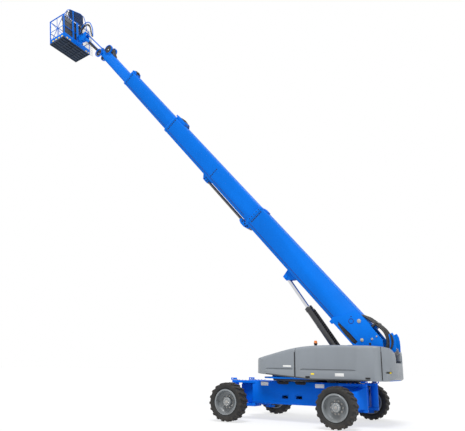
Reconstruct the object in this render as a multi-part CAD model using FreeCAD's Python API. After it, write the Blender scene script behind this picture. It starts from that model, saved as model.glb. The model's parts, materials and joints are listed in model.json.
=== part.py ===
import FreeCAD, Part
import os
from math import atan2, cos, degrees, hypot, pi, radians, sin

# Telescopic boom lift, at full size, in millimetres.
# +X is forward, the way the boom points; +Y is the machine's left; +Z is up.
# The origin is on the ground, under the slewing axis.

# ---------------------------------------------------------------- driving sizes
# Running and standing gaps
RUN = 0.3                 # a shaft in its bore, or a pad on its track, all round
CLEAR = 6.0               # between pieces that move past each other

# Wheels
TYRE_R = 577.5
TYRE_W = 445.0
BEAD_R = 355.0
TRACK = 3628.0            # between the wheels' middle planes
WHEELBASE = 3460.0

# Chassis
CHASSIS_HALF_LENGTH = 1500.0
CHASSIS_HALF_WIDTH = 650.0
CHASSIS_BOTTOM = 505.0
CHASSIS_TOP = 1195.0
CHASSIS_WALL = 25.0
EAR_THICK = 80.0
POST_X = 2150.0           # hinge post of an axle arm
POST_Y = 610.0
POST_R = 50.0
KINGPIN_X = WHEELBASE / 2 + 20.0
KINGPIN_Y = TRACK / 2 - 425.0
KINGPIN_R = 42.0
SLEW_RING_R = 620.0
DECK_BOTTOM = 1287.0
DECK_THICK = 50.0

# Turntable and hoods
HOOD_SIDE = 1150.0        # outer face, from the middle plane
HOOD_INNER = 430.0
HOOD_WALL = 30.0
HOOD_GAP = 16.0
HINGE_Y = HOOD_INNER - 12.0       # hinges of the hood doors, on top of the bulkheads
HINGE_Z = 2314.0
HINGE_PIN_R = 7.0
HINGE_BARREL_R = 15.0
HINGE_PLACES = (-1850.0, -1250.0)
NOSE_SEAM = -220.0
TAIL_SEAM = -2840.0
NOSE_X = 1195.0
TAIL_X = -3130.0
TURNTABLE_FRONT = 900.0
RISER_INNER = 336.0
RISER_THICK = 30.0

# Boom
PIVOT_X = -2400.0
PIVOT_Z = 2000.0
PIVOT_R = 60.0
ELEVATION = 48.6
# lowest and highest faces measured square to the boom from its pivot, half width, wall,
# inner end and outer end measured along the boom
BASE = dict(low=-205.0, high=610.0, half=300.0, wall=10.0, rear=700.0, tip=6500.0)
MID = dict(low=-160.0, high=585.0, half=270.0, wall=10.0, rear=5300.0, tip=12650.0)
FLY = dict(low=-115.0, high=560.0, half=235.0, wall=8.0, rear=10300.0, tip=16600.0)
TIP = dict(low=-75.0, high=400.0, half=170.0, wall=8.0, rear=13200.0, tip=18950.0)
LOWER_FOLD = 120.0
UPPER_ROUND = 55.0
PAD_LENGTH = 150.0
PLATE_THICK = 24.0

# Lift cylinder
CYLINDER_FOOT_X = -1761.0
CYLINDER_FOOT_Z = 1400.0
ROD_PIN_ALONG = 3888.0
ROD_PIN_BELOW = -430.0
BARREL_R = 118.0
BARREL_BORE = 92.0
BARREL_LENGTH = 2644.0
ROD_R = 68.0
ROD_EYE_R = 78.0
ROD_EYE_HALF = 72.0
FOOT_EYE_R = 100.0
FOOT_EYE_HALF = 122.0
FOOT_PIN_R = 45.0

# Guide rods under the boom's second section
GUIDE_ROD_R = 38.0
GUIDE_ROD_SPREAD = 75.0
GUIDE_ROD_BELOW = -265.0
GUIDE_BRACKET_ALONG = 9250.0
GUIDE_BLOCK_REAR = 6270.0
GUIDE_BLOCK_FRONT = 6840.0

# Jib and platform
HEAD_PIVOT_ALONG = 19250.0
HEAD_PIVOT_ABOVE = 110.0
HEAD_PIN_R = 35.0
JIB_LENGTH = 1930.0
JIB_ELEVATION = 46.5
JIB_SPACING = 280.0       # from the lower arm's pins to the upper link's
JIB_LEAN = 7.5            # how far the upper pins lean back from upright
JIB_ARM_HEIGHT = 120.0
JIB_LINK_HEIGHT = 50.0
MOUNT_REACH = 330.0       # from the jib's outer pins to the platform's turning axis
PLATFORM_SETBACK = 260.0  # from the turning axis to the platform's near side
PLATFORM_WIDTH = 1830.0
PLATFORM_DEPTH = 1050.0
PLATFORM_TILT = 10.0
FLOOR_PLATE = 8.0
GATE_BAR_R = 14.0
RAIL_HEIGHT = 1500.0
HOOP_RISE = 850.0         # guard hoop over the console, above the top rail
RAIL_R = 19.0
POST_SPREAD = 310.0       # of the middle posts, each way from the middle plane
TOE_BOARD = 150.0
TOE_THICK = 6.0
FLOOR_THICK = 45.0

# ---------------------------------------------------------------- shape helpers


def point(x, y, z):
    return FreeCAD.Vector(x, y, z)


def block(x0, x1, y0, y1, z0, z1):
    return Part.makeBox(x1 - x0, y1 - y0, z1 - z0, point(x0, y0, z0))


def rod(start, end, radius):
    """Round bar between two points."""
    a = point(*start)
    along = point(*end) - a
    return Part.makeCylinder(radius, along.Length, a, along)


def pipe(start, end, radius, bore):
    return rod(start, end, radius).cut(rod(start, end, bore))


def face_of(corners):
    return Part.Face(Part.makePolygon([point(*c) for c in corners + corners[:1]]))


def slab(outline, y0, y1):
    """Flat plate: an outline in x and z, given thickness across the machine."""
    return face_of([(x, y0, z) for x, z in outline]).extrude(point(0, y1 - y0, 0))


def deck(outline, z0, z1):
    """Flat plate: an outline in x and y, given thickness upwards."""
    return face_of([(x, y, z0) for x, y in outline]).extrude(point(0, 0, z1 - z0))


def smooth_wire(runs):
    """Closed outline of straight runs of two places and smooth runs of more, laid end to end."""
    edges = []
    for run in runs:
        places = [point(*place) for place in run]
        if len(places) == 2:
            edges.append(Part.makeLine(*places))
        else:
            curve = Part.BSplineCurve()
            curve.interpolate(places)
            edges.append(curve.toShape())
    return Part.Wire(edges)


def fused(shapes):
    return shapes[0].multiFuse(shapes[1:]).removeSplitter()


def turned(profile):
    """Ring or disc: an outline of (along the axle, radius), spun about the Y axis."""
    outline = face_of([(radius, along, 0) for along, radius in profile])
    return outline.revolve(point(0, 0, 0), point(0, 1, 0), 360)


def across(shape):
    """The same piece on the machine's other side."""
    return shape.mirror(point(0, 0, 0), point(0, 1, 0))


def fore_and_aft(shape):
    """The same piece at the machine's other end."""
    return shape.mirror(point(0, 0, 0), point(1, 0, 0))


def raised(shape, origin, elevation):
    """Take a piece drawn level at the origin up to its place and slope."""
    piece = shape.copy()
    piece.rotate(point(0, 0, 0), point(0, 1, 0), -elevation)
    piece.translate(point(*origin))
    return piece


def on_boom(shape):
    return raised(shape, (PIVOT_X, 0, PIVOT_Z), ELEVATION)


def boom_place(along, above):
    """Machine x and z of a point measured along and square to the boom."""
    e = radians(ELEVATION)
    x = PIVOT_X + along * cos(e) - above * sin(e)
    z = PIVOT_Z + along * sin(e) + above * cos(e)
    return x, z


parts = {}

# ---------------------------------------------------------------- wheels, arms and chassis


def make_tyre():
    half = TYRE_W / 2
    bead_half = half - 42
    side = [(bead_half, BEAD_R), (bead_half, BEAD_R + 24), (bead_half + 15, BEAD_R + 50), (half, BEAD_R + 100),
            (half, TYRE_R - 75), (half - 12, TYRE_R - 30), (half - 48, TYRE_R)]
    return turned([(-a, r) for a, r in reversed(side)] + side)


def make_wheel():
    """Rim, dished disc and hub, with the open side out along +Y."""
    half = TYRE_W / 2 - 42
    seat = BEAD_R - RUN
    rim = turned([(-half - 14, BEAD_R - 22), (-half - 14, BEAD_R + 22), (-half - RUN, BEAD_R + 22),
                  (-half - RUN, seat), (half + RUN, seat), (half + RUN, BEAD_R + 22),
                  (half + 14, BEAD_R + 22), (half + 14, BEAD_R - 22)])
    disc = turned([(-20, 70), (-20, BEAD_R - 40), (40, BEAD_R - 15), (60, BEAD_R - 15),
                   (10, BEAD_R - 60), (5, 150), (5, 70)])
    hub = turned([(-60, SPINDLE_R + RUN), (-60, 135), (110, 135), (130, 115), (130, 0), (112, 0),
                  (112, SPINDLE_R + RUN)])
    return fused([rim, disc, hub])


SPINDLE_R = 60.0
HOUSING_R = 105.0
HOUSING_BOTTOM = 335.0
HOUSING_TOP = 820.0


def make_knuckle():
    """Kingpin housing and spindle of the front left wheel."""
    x, y = KINGPIN_X, KINGPIN_Y
    housing = rod((x, y, HOUSING_BOTTOM), (x, y, HOUSING_TOP), HOUSING_R)
    pin = rod((x, y, HOUSING_BOTTOM - 70), (x, y, HOUSING_TOP + 70), KINGPIN_R)
    wheel_x, wheel_y = WHEELBASE / 2, TRACK / 2
    flange = rod((wheel_x, y, TYRE_R), (wheel_x, wheel_y - 190, TYRE_R), 130)
    motor = rod((wheel_x, y, TYRE_R), (wheel_x, wheel_y - 66, TYRE_R), 118)
    spindle = rod((wheel_x, y, TYRE_R), (wheel_x, wheel_y + 105, TYRE_R), SPINDLE_R)
    steering_arm = block(x - 210, x, y - 40, y + 40, 640, 680)
    return fused([housing, pin, flange, motor, spindle, steering_arm])


def make_axle_arm():
    """Swing-out arm of the front left wheel, drawn along its own length and turned into place."""
    reach = hypot(KINGPIN_X - POST_X, KINGPIN_Y - POST_Y)
    low_ear = CHASSIS_BOTTOM - 25
    sleeve_bottom = low_ear + CLEAR
    sleeve_top = CHASSIS_TOP - EAR_THICK - CLEAR
    sleeve = rod((0, 0, sleeve_bottom), (0, 0, sleeve_top), 118)
    end = reach - HOUSING_R - 25
    side = [(0, sleeve_bottom), (260, sleeve_bottom), (end - 120, 400), (end, HOUSING_BOTTOM - 75),
            (end, HOUSING_TOP + 75), (end - 160, HOUSING_TOP + 110), (0, sleeve_top)]
    beam = slab(side, -105, 105)
    lug_reach = reach
    low_lug = fused([block(end - 60, lug_reach, -105, 105, HOUSING_BOTTOM - 75, HOUSING_BOTTOM - CLEAR),
                     rod((reach, 0, HOUSING_BOTTOM - 75), (reach, 0, HOUSING_BOTTOM - CLEAR), 105)])
    high_lug = fused([block(end - 60, lug_reach, -105, 105, HOUSING_TOP + CLEAR, HOUSING_TOP + 75),
                      rod((reach, 0, HOUSING_TOP + CLEAR), (reach, 0, HOUSING_TOP + 75), 105)])
    arm = fused([sleeve, beam, low_lug, high_lug])
    arm = arm.cut(rod((0, 0, 0), (0, 0, 2000), POST_R + RUN))
    arm = arm.cut(rod((reach, 0, 0), (reach, 0, 2000), KINGPIN_R + RUN))
    arm.rotate(point(0, 0, 0), point(0, 0, 1), degrees(atan2(KINGPIN_Y - POST_Y, KINGPIN_X - POST_X)))
    arm.translate(point(POST_X, POST_Y, 0))
    return arm


def chassis_box():
    return block(-CHASSIS_HALF_LENGTH, CHASSIS_HALF_LENGTH, -CHASSIS_HALF_WIDTH, CHASSIS_HALF_WIDTH,
                 CHASSIS_BOTTOM, CHASSIS_TOP)


def make_chassis():
    """Closed hollow box with two fork pockets through it."""
    half_l, half_w = CHASSIS_HALF_LENGTH, CHASSIS_HALF_WIDTH
    wall = CHASSIS_WALL
    room = block(-half_l + wall, half_l - wall, -half_w + wall, half_w - wall,
                 CHASSIS_BOTTOM + wall, CHASSIS_TOP - wall)
    body = chassis_box().cut(room)
    for x in (345, -125):
        pocket = block(x - 105, x + 105, -half_w - 1, half_w + 1, 680, 775)
        liner = block(x - 120, x + 120, -half_w + 1, half_w - 1, 665, 790)
        body = body.fuse(liner).cut(pocket)
    return body.removeSplitter()


def make_corner_mounts():
    """Plates at the chassis's four corners that hold the axle arms' hinge posts."""
    half_l, half_w = CHASSIS_HALF_LENGTH, CHASSIS_HALF_WIDTH
    mount = []
    for low, high in ((CHASSIS_TOP - EAR_THICK, CHASSIS_TOP), (CHASSIS_BOTTOM - 105, CHASSIS_BOTTOM - 25)):
        plate = deck([(half_l - 100, 200), (half_l - 100, half_w), (half_l, half_w + 20),
                      (POST_X, POST_Y + 120), (POST_X, POST_Y - 120)], low, high)
        mount += [plate, rod((POST_X, POST_Y, low), (POST_X, POST_Y, high), 120)]
    mount.append(block(half_l - 100, half_l, 200, half_w, CHASSIS_BOTTOM - 105, CHASSIS_BOTTOM))
    mount.append(rod((POST_X, POST_Y, CHASSIS_BOTTOM - 105), (POST_X, POST_Y, CHASSIS_TOP), POST_R))
    lug = block(POST_X - 60, POST_X + 150, POST_Y + 20, POST_Y + 50, CHASSIS_TOP - 1, CHASSIS_TOP + 75)
    mount.append(lug.cut(rod((POST_X + 100, 0, CHASSIS_TOP + 36), (POST_X + 100, 2000, CHASSIS_TOP + 36), 22)))
    mount = fused(mount).cut(chassis_box())
    return Part.makeCompound([mount, across(mount), fore_and_aft(mount), across(fore_and_aft(mount))])


def make_slew_ring():
    return pipe((0, 0, CHASSIS_TOP), (0, 0, DECK_BOTTOM - RUN), SLEW_RING_R, SLEW_RING_R - 150)


def spread(name, shape):
    """One piece at each of the machine's four corners, from the front left one."""
    parts[name + "_front_left"] = shape
    parts[name + "_front_right"] = across(shape)
    parts[name + "_rear_left"] = fore_and_aft(shape)
    parts[name + "_rear_right"] = across(fore_and_aft(shape))


parts["chassis_frame"] = make_chassis()
parts["corner_mounts"] = make_corner_mounts()
parts["slew_ring"] = make_slew_ring()
spread("axle_arm", make_axle_arm())
spread("steering_knuckle", make_knuckle())
wheel_place = point(WHEELBASE / 2, TRACK / 2, TYRE_R)
tyre = make_tyre()
tyre.translate(wheel_place)
wheel = make_wheel()
wheel.translate(wheel_place)
spread("tyre", tyre)
spread("wheel", wheel)

# ---------------------------------------------------------------- turntable


# roof of the hoods and of the tail behind them, from the tail to the nose
HOOD_LINE = [(TAIL_X, 1760), (TAIL_X + 20, 1950), (TAIL_X + 70, 2110), (TAIL_X + 160, 2210), (TAIL_X + 330, 2256),
             (-2300, 2284), (-1600, 2298), (-900, 2290), (-220, 2226), (300, 2115), (700, 2010), (NOSE_X - 220, 1935),
             (NOSE_X - 60, 1860), (NOSE_X, 1760)]
DECK_HALF = HOOD_SIDE - HOOD_WALL - RUN
DECK_REAR = TAIL_X + 160
DECK_REAR_HALF = 700.0
BULKHEAD_THICK = 30.0


def make_turntable():
    top = DECK_BOTTOM + DECK_THICK
    nose, half = TURNTABLE_FRONT, DECK_HALF
    front = [(TAIL_SEAM + HOOD_GAP, half - 130), (-2500, half), (nose - 300, half), (nose, half - 140),
             (nose, 140 - half), (nose - 300, -half), (-2500, -half), (TAIL_SEAM + HOOD_GAP, 130 - half)]
    rear = [(TAIL_SEAM + HOOD_GAP, -DECK_REAR_HALF), (DECK_REAR, -DECK_REAR_HALF),
            (DECK_REAR, DECK_REAR_HALF), (TAIL_SEAM + HOOD_GAP, DECK_REAR_HALF)]
    floor = deck(front + rear, DECK_BOTTOM, top)
    floor = floor.cut(block(CYLINDER_FOOT_X - 200, -450, -FOOT_EYE_HALF - 15, FOOT_EYE_HALF + 15, 0, 2000))
    risers = []
    roof = [(x, z - 12) for x, z in HOOD_LINE if TAIL_SEAM < x < nose - 100]
    ends = [(nose - 12, top - 1), (TAIL_SEAM + HOOD_GAP, top - 1), (TAIL_SEAM + HOOD_GAP, roof[0][1] - 20)]
    bulkhead = slab(roof + [(nose - 12, roof[-1][1] - 110)] + ends,
                    HOOD_INNER - RUN - BULKHEAD_THICK, HOOD_INNER - RUN)
    risers += [bulkhead, across(bulkhead)]
    for x in HINGE_PLACES:
        tabs = [block(x0, x0 + 30, HINGE_Y - 14, HINGE_Y + 6, HINGE_Z - 50, HINGE_Z + 9) for x0 in (x, x + 170)]
        hinge = fused(tabs + [rod((x - 5, HINGE_Y, HINGE_Z), (x + 205, HINGE_Y, HINGE_Z), HINGE_PIN_R)])
        risers += [hinge, across(hinge)]
    for side in (1, -1):
        y0, y1 = sorted((side * RISER_INNER, side * (RISER_INNER + RISER_THICK)))
        plate = slab([(-2960, top - 1), (-1100, top - 1), (-1250, 1600), (-1900, 1700),
                      (PIVOT_X + 190, PIVOT_Z), (PIVOT_X - 190, PIVOT_Z), (-2960, 1750)], y0, y1)
        boss = rod((PIVOT_X, y0, PIVOT_Z), (PIVOT_X, y1, PIVOT_Z), 190)
        risers += [plate, boss]
        lug0, lug1 = sorted((side * (FOOT_EYE_HALF + CLEAR), side * (FOOT_EYE_HALF + CLEAR + 35)))
        risers.append(slab([(CYLINDER_FOOT_X - 220, DECK_BOTTOM), (CYLINDER_FOOT_X + 220, DECK_BOTTOM),
                            (CYLINDER_FOOT_X + 110, CYLINDER_FOOT_Z + 110),
                            (CYLINDER_FOOT_X - 110, CYLINDER_FOOT_Z + 110)], lug0, lug1))
    y = RISER_INNER + RISER_THICK + 25
    pins = [rod((PIVOT_X, -y, PIVOT_Z), (PIVOT_X, y, PIVOT_Z), PIVOT_R)]
    y = FOOT_EYE_HALF + CLEAR + 45
    pins.append(rod((CYLINDER_FOOT_X, -y, CYLINDER_FOOT_Z), (CYLINDER_FOOT_X, y, CYLINDER_FOOT_Z), FOOT_PIN_R))
    return fused([floor] + risers + pins)


HOOD_FOOT = [(NOSE_X, 1440), (-760, 1285), (TAIL_X + 200, 1285), (TAIL_X + 60, 1340), (TAIL_X, 1440)]
SHOULDER = 110.0          # rounding between roof and side
NOSE_CORNER = (380.0, 380.0)      # plan rounding, along and across the machine
TAIL_CORNER = (500.0, 1000.0)


def plan_corner(x, y, size, nose):
    """Places round a corner of the hoods' plan, from the end to the side."""
    along, over = size
    turn = 1 if nose else -1
    steps = [pi / 2 * number / 6 for number in range(7)]
    return [(x + turn * along * cos(a), y + over * sin(a), 1000) for a in steps]


def hood_plan(inset, top):
    """Upright solid inside the hoods' plan outline, from the middle plane out, moved in by inset."""
    side = HOOD_SIDE - inset
    nose, tail = NOSE_X - inset, TAIL_X + inset
    nose_corner = plan_corner(nose - NOSE_CORNER[0], side - NOSE_CORNER[1], NOSE_CORNER, True)
    tail_corner = plan_corner(tail + TAIL_CORNER[0], side - TAIL_CORNER[1], TAIL_CORNER, False)
    runs = [[(nose, 0, 1000), nose_corner[0]], nose_corner, [nose_corner[-1], tail_corner[-1]],
            tail_corner[::-1], [tail_corner[0], (tail, 0, 1000)], [(tail, 0, 1000), (nose, 0, 1000)]]
    return Part.Face(smooth_wire(runs)).extrude(point(0, 0, top - 1000))


def hood_form(inset, inner):
    """Whole left hood, nose to tail, its skin moved in by inset."""
    side = HOOD_SIDE - inset

    def moved(place, drop):
        x, z = place
        x = x - drop if x > 700 else x + drop if x < TAIL_X + 300 else x
        return x, z - drop if z > 1500 else z + drop

    # outlines from the middle plane out to the side, lower and lower round the shoulder
    bend = SHOULDER - inset
    angles = [pi / 2 * number / 5 for number in range(6)]
    steps = [(0, 0)] + [(side - bend + bend * sin(a), bend - bend * cos(a)) for a in angles]
    foot = [moved(place, inset) for place in HOOD_FOOT]
    outlines = []
    for y, drop in steps:
        roof = [moved(place, inset + drop) for place in HOOD_LINE]
        runs = [roof] + [list(pair) for pair in zip([roof[-1]] + foot, foot + [roof[0]])]
        outlines.append(smooth_wire([[(x, y, z) for x, z in run] for run in runs]))
    form = Part.makeLoft(outlines, True, True).common(hood_plan(inset, 3000))
    return form.common(block(-4000, 2000, inner, 2000, 1000, 3000)) if inner else form


def hood_piece(x0, x1):
    """Shell of the left hood between two seams, open below and towards the boom's lane."""
    skin = hood_form(0, HOOD_INNER).cut(hood_form(HOOD_WALL, HOOD_INNER - 50))
    skin = skin.cut(hood_plan(HOOD_WALL, 1500))
    return skin.common(block(x0, x1, 0, 2000, 1000, 3000))


def make_counterweight():
    """Cast tail of the turntable, as wide as both hoods, with a lane for the boom's foot."""
    half = hood_form(0, 0).common(block(-4000, TAIL_SEAM - HOOD_GAP / 2, 0, 2000, 1000, 3000))
    lane = fused([block(-4000, PIVOT_X, -1, HOOD_INNER, 1800, 3000),
                  block(PIVOT_X - 590, PIVOT_X, -1, HOOD_INNER, 1000, 3000)])
    half = half.cut(lane)
    half = half.cut(block(DECK_REAR - RUN, 0, -1, DECK_REAR_HALF + RUN, 1000, DECK_BOTTOM + DECK_THICK + RUN))
    return fused([half, across(half)])


parts["turntable_frame"] = make_turntable()
parts["counterweight"] = make_counterweight()
hood_door = hood_piece(TAIL_SEAM + HOOD_GAP / 2, NOSE_SEAM - HOOD_GAP / 2)
hood_nose = hood_piece(NOSE_SEAM + HOOD_GAP / 2, NOSE_X)
for x in HINGE_PLACES:
    hood_door = fused([hood_door, rod((x + 36, HINGE_Y, HINGE_Z), (x + 164, HINGE_Y, HINGE_Z), HINGE_BARREL_R),
                       block(x + 36, x + 164, HINGE_Y, HINGE_Y + 52, HINGE_Z - 25, HINGE_Z - 10)])
    hood_door = hood_door.cut(rod((x, HINGE_Y, HINGE_Z), (x + 200, HINGE_Y, HINGE_Z), HINGE_PIN_R + RUN))
parts["left_hood_door"] = hood_door
parts["right_hood_door"] = across(hood_door)
parts["left_hood_nose"] = hood_nose
parts["right_hood_nose"] = across(hood_nose)
ENGINE_TOP = 2000.0
TANK_TOP = 1830.0
parts["engine_block"] = block(-2350, -1200, -1010, -490, DECK_BOTTOM + DECK_THICK, ENGINE_TOP)
parts["tank_block"] = block(-2350, -800, 490, 1000, DECK_BOTTOM + DECK_THICK, TANK_TOP)
BEACON_X = -774.0
BEACON_Y = 800.0
parts["beacon"] = fused([rod((BEACON_X, BEACON_Y, 2200), (BEACON_X, BEACON_Y, 2355), 45),
                         rod((BEACON_X, BEACON_Y, 2355), (BEACON_X, BEACON_Y, 2450), 60)])
parts["beacon"] = parts["beacon"].cut(hood_form(0, HOOD_INNER))

# ---------------------------------------------------------------- boom


def section_outline(low, high, half, along):
    """Box outline of a boom section, its lower sides folded in."""
    fold = min(LOWER_FOLD, half * 0.45)
    top = UPPER_ROUND
    return [(along, -half + fold * 0.55, low), (along, half - fold * 0.55, low), (along, half, low + fold),
            (along, half, high - top), (along, half - top * 0.3, high - top * 0.3), (along, half - top, high),
            (along, -half + top, high), (along, -half + top * 0.3, high - top * 0.3),
            (along, -half, high - top), (along, -half, low + fold)]


def section_solid(size, rear, tip, inset=0.0):
    outline = section_outline(size["low"] + inset, size["high"] - inset, size["half"] - inset, rear)
    return face_of(outline).extrude(point(tip - rear, 0, 0))


def section_tube(size):
    tube = section_solid(size, size["rear"], size["tip"])
    return tube.cut(section_solid(size, size["rear"] - 1, size["tip"] + 1, size["wall"]))


def collar(size, length, proud):
    """Thick band round a section's outer end."""
    band = section_solid(size, size["tip"] - length, size["tip"], -proud)
    return band.cut(section_solid(size, size["tip"] - length - 1, size["tip"] + 1, 1))


def front_pads(outer, inner):
    """Slide pads inside the outer end of one section, that bear on the next one."""
    wall = outer["wall"]
    u0, u1 = outer["tip"] - PAD_LENGTH, outer["tip"] - 2
    pads = []
    for side in (1, -1):
        y0, y1 = sorted((side * 60, side * 130))
        pads.append(block(u0, u1, y0, y1, outer["low"] + wall - 1, inner["low"] - RUN))
        pads.append(block(u0, u1, y0, y1, inner["high"] + RUN, outer["high"] - wall + 1))
        y0, y1 = sorted((side * (inner["half"] + RUN), side * (outer["half"] - wall + 1)))
        middle = (inner["low"] + inner["high"]) / 2 + 20
        pads.append(block(u0, u1, y0, y1, middle - 110, middle + 110))
    return pads


def rear_pads(outer, inner):
    """Slide pads on the inner end of a section, that bear inside the one before."""
    wall = outer["wall"]
    u0, u1 = inner["rear"] + 2, inner["rear"] + PAD_LENGTH
    pads = []
    for side in (1, -1):
        y0, y1 = sorted((side * 60, side * 130))
        pads.append(block(u0, u1, y0, y1, outer["low"] + wall + RUN, inner["low"] + 1))
        pads.append(block(u0, u1, y0, y1, inner["high"] - 1, outer["high"] - wall - RUN))
        y0, y1 = sorted((side * (inner["half"] - 1), side * (outer["half"] - wall - RUN)))
        middle = (inner["low"] + inner["high"]) / 2 + 20
        pads.append(block(u0, u1, y0, y1, middle - 110, middle + 110))
    return pads


def make_boom_base():
    pieces = [section_tube(BASE), collar(BASE, 130, 14)] + front_pads(BASE, MID)
    for side in (1, -1):
        y0, y1 = sorted((side * BASE["half"], side * (BASE["half"] + PLATE_THICK)))
        plate = slab([(-120, -160), (500, -230), (1530, -230), (1570, -290), (1670, -290), (1700, -120),
                      (1500, 200), (1350, 560),
                      (700, 590), (150, 560), (-160, 330), (-200, 60)], y0, y1)
        pieces.append(plate)
        inner0, inner1 = sorted((side * (BASE["half"] - 40), side * BASE["half"]))
        pieces.append(slab([(-120, -160), (500, -190), (900, -190), (900, 560), (150, 560), (-160, 330),
                            (-200, 60)], inner0, inner1))
        boss0, boss1 = sorted((side * (BASE["half"] - 40), side * (BASE["half"] + PLATE_THICK)))
        pieces.append(rod((0, boss0, 0), (0, boss1, 0), 150))
        cheek0, cheek1 = sorted((side * (ROD_EYE_HALF + CLEAR), side * (ROD_EYE_HALF + CLEAR + 30)))
        pieces.append(slab([(ROD_PIN_ALONG - 330, BASE["low"] + 8), (ROD_PIN_ALONG + 160, BASE["low"] + 8),
                            (ROD_PIN_ALONG + 100, ROD_PIN_BELOW - 80), (ROD_PIN_ALONG - 90, ROD_PIN_BELOW - 80)],
                           cheek0, cheek1))
        cap0, cap1 = sorted((side * (ROD_EYE_HALF + CLEAR + 28), side * (ROD_EYE_HALF + CLEAR + 60)))
        pieces.append(rod((ROD_PIN_ALONG, cap0, ROD_PIN_BELOW), (ROD_PIN_ALONG, cap1, ROD_PIN_BELOW), 48))
    guide = slab([(GUIDE_BLOCK_REAR, BASE["low"] + 2), (BASE["tip"] - 20, BASE["low"] + 2),
                  (BASE["tip"] - 20, MID["low"] - 60), (GUIDE_BLOCK_FRONT, MID["low"] - 60),
                  (GUIDE_BLOCK_FRONT, GUIDE_ROD_BELOW - 60), (BASE["tip"] + 200, GUIDE_ROD_BELOW - 110),
                  (BASE["tip"], GUIDE_ROD_BELOW - 110), (GUIDE_BLOCK_REAR + 60, GUIDE_ROD_BELOW - 60)], -150, 150)
    for side in (1, -1):
        y = side * GUIDE_ROD_SPREAD
        guide = guide.cut(rod((GUIDE_BLOCK_REAR - 10, y, GUIDE_ROD_BELOW), (GUIDE_BLOCK_FRONT + 10, y, GUIDE_ROD_BELOW),
                              GUIDE_ROD_R + RUN))
    pieces.append(guide)
    pieces.append(block(BASE["tip"] - 320, BASE["tip"] - 120, -110, 110, BASE["high"] - 2, BASE["high"] + 50))
    pieces.append(block(560, 700, -150, 150, BASE["high"] - 20, BASE["high"] + 115))
    whole = fused(pieces)
    return whole.cut(rod((0, -500, 0), (0, 500, 0), PIVOT_R + RUN))


def make_boom_mid():
    pieces = [section_tube(MID), collar(MID, 120, 12)] + front_pads(MID, FLY) + rear_pads(BASE, MID)
    pieces.append(slab([(GUIDE_BRACKET_ALONG - 130, GUIDE_ROD_BELOW - 60), (GUIDE_BRACKET_ALONG + 130, GUIDE_ROD_BELOW - 60),
                        (GUIDE_BRACKET_ALONG + 300, MID["low"] + 2), (GUIDE_BRACKET_ALONG - 130, MID["low"] + 2)],
                       -150, 150))
    hose_arm = slab([(MID["tip"] - 700, MID["high"] - 2), (MID["tip"] - 10, MID["high"] - 2), (MID["tip"], 632),
                     (MID["tip"] + 130, 632), (MID["tip"] + 130, 690), (MID["tip"] - 560, 710)], -90, 90)
    return fused(pieces + [hose_arm])


def make_boom_fly():
    hose_block = block(FLY["tip"] - 330, FLY["tip"] - 70, -80, 80, FLY["high"] - 2, FLY["high"] + 50)
    return fused([section_tube(FLY), collar(FLY, 110, 10), hose_block] + front_pads(FLY, TIP) + rear_pads(MID, FLY))


def make_boom_tip():
    pieces = [section_tube(TIP)] + rear_pads(FLY, TIP)
    pieces.append(section_solid(TIP, TIP["tip"] - 30, TIP["tip"]))
    for side in (1, -1):
        y0, y1 = sorted((side * (TIP["half"] - 45), side * (TIP["half"] - 5)))
        pieces.append(slab([(TIP["tip"] - 10, -40), (HEAD_PIVOT_ALONG, HEAD_PIVOT_ABOVE - 120),
                            (HEAD_PIVOT_ALONG, HEAD_PIVOT_ABOVE + 120), (TIP["tip"] - 10, 360)], y0, y1))
        pieces.append(rod((HEAD_PIVOT_ALONG, y0, HEAD_PIVOT_ABOVE), (HEAD_PIVOT_ALONG, y1, HEAD_PIVOT_ABOVE), 120))
    y = TIP["half"] + 15
    pieces.append(rod((HEAD_PIVOT_ALONG, -y, HEAD_PIVOT_ABOVE), (HEAD_PIVOT_ALONG, y, HEAD_PIVOT_ABOVE), HEAD_PIN_R))
    return fused(pieces)


def make_guide_rods():
    rods = []
    for side in (1, -1):
        y = side * GUIDE_ROD_SPREAD
        rods.append(rod((BASE["tip"] - 230, y, GUIDE_ROD_BELOW), (GUIDE_BRACKET_ALONG - 130, y, GUIDE_ROD_BELOW),
                        GUIDE_ROD_R))
    return Part.makeCompound(rods)


parts["boom_base"] = on_boom(make_boom_base())
parts["boom_mid"] = on_boom(make_boom_mid())
parts["boom_fly"] = on_boom(make_boom_fly())
parts["boom_tip"] = on_boom(make_boom_tip())
parts["boom_guide_rods"] = on_boom(make_guide_rods())

# ---------------------------------------------------------------- lift cylinder
rod_pin_x, rod_pin_z = boom_place(ROD_PIN_ALONG, ROD_PIN_BELOW)
cylinder_reach = hypot(rod_pin_x - CYLINDER_FOOT_X, rod_pin_z - CYLINDER_FOOT_Z)
cylinder_slope = degrees(atan2(rod_pin_z - CYLINDER_FOOT_Z, rod_pin_x - CYLINDER_FOOT_X))


def on_cylinder(shape):
    return raised(shape, (CYLINDER_FOOT_X, 0, CYLINDER_FOOT_Z), cylinder_slope)


def make_lift_barrel():
    body = rod((60, 0, 0), (BARREL_LENGTH, 0, 0), BARREL_R)
    gland = rod((BARREL_LENGTH - 110, 0, 0), (BARREL_LENGTH, 0, 0), BARREL_R + 14)
    eye = rod((0, -FOOT_EYE_HALF, 0), (0, FOOT_EYE_HALF, 0), FOOT_EYE_R)
    barrel = fused([body, gland, eye])
    barrel = barrel.cut(rod((130, 0, 0), (BARREL_LENGTH - 110, 0, 0), BARREL_BORE))
    barrel = barrel.cut(rod((130, 0, 0), (BARREL_LENGTH + 10, 0, 0), ROD_R + RUN))
    return barrel.cut(rod((0, -300, 0), (0, 300, 0), FOOT_PIN_R + RUN))


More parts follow.
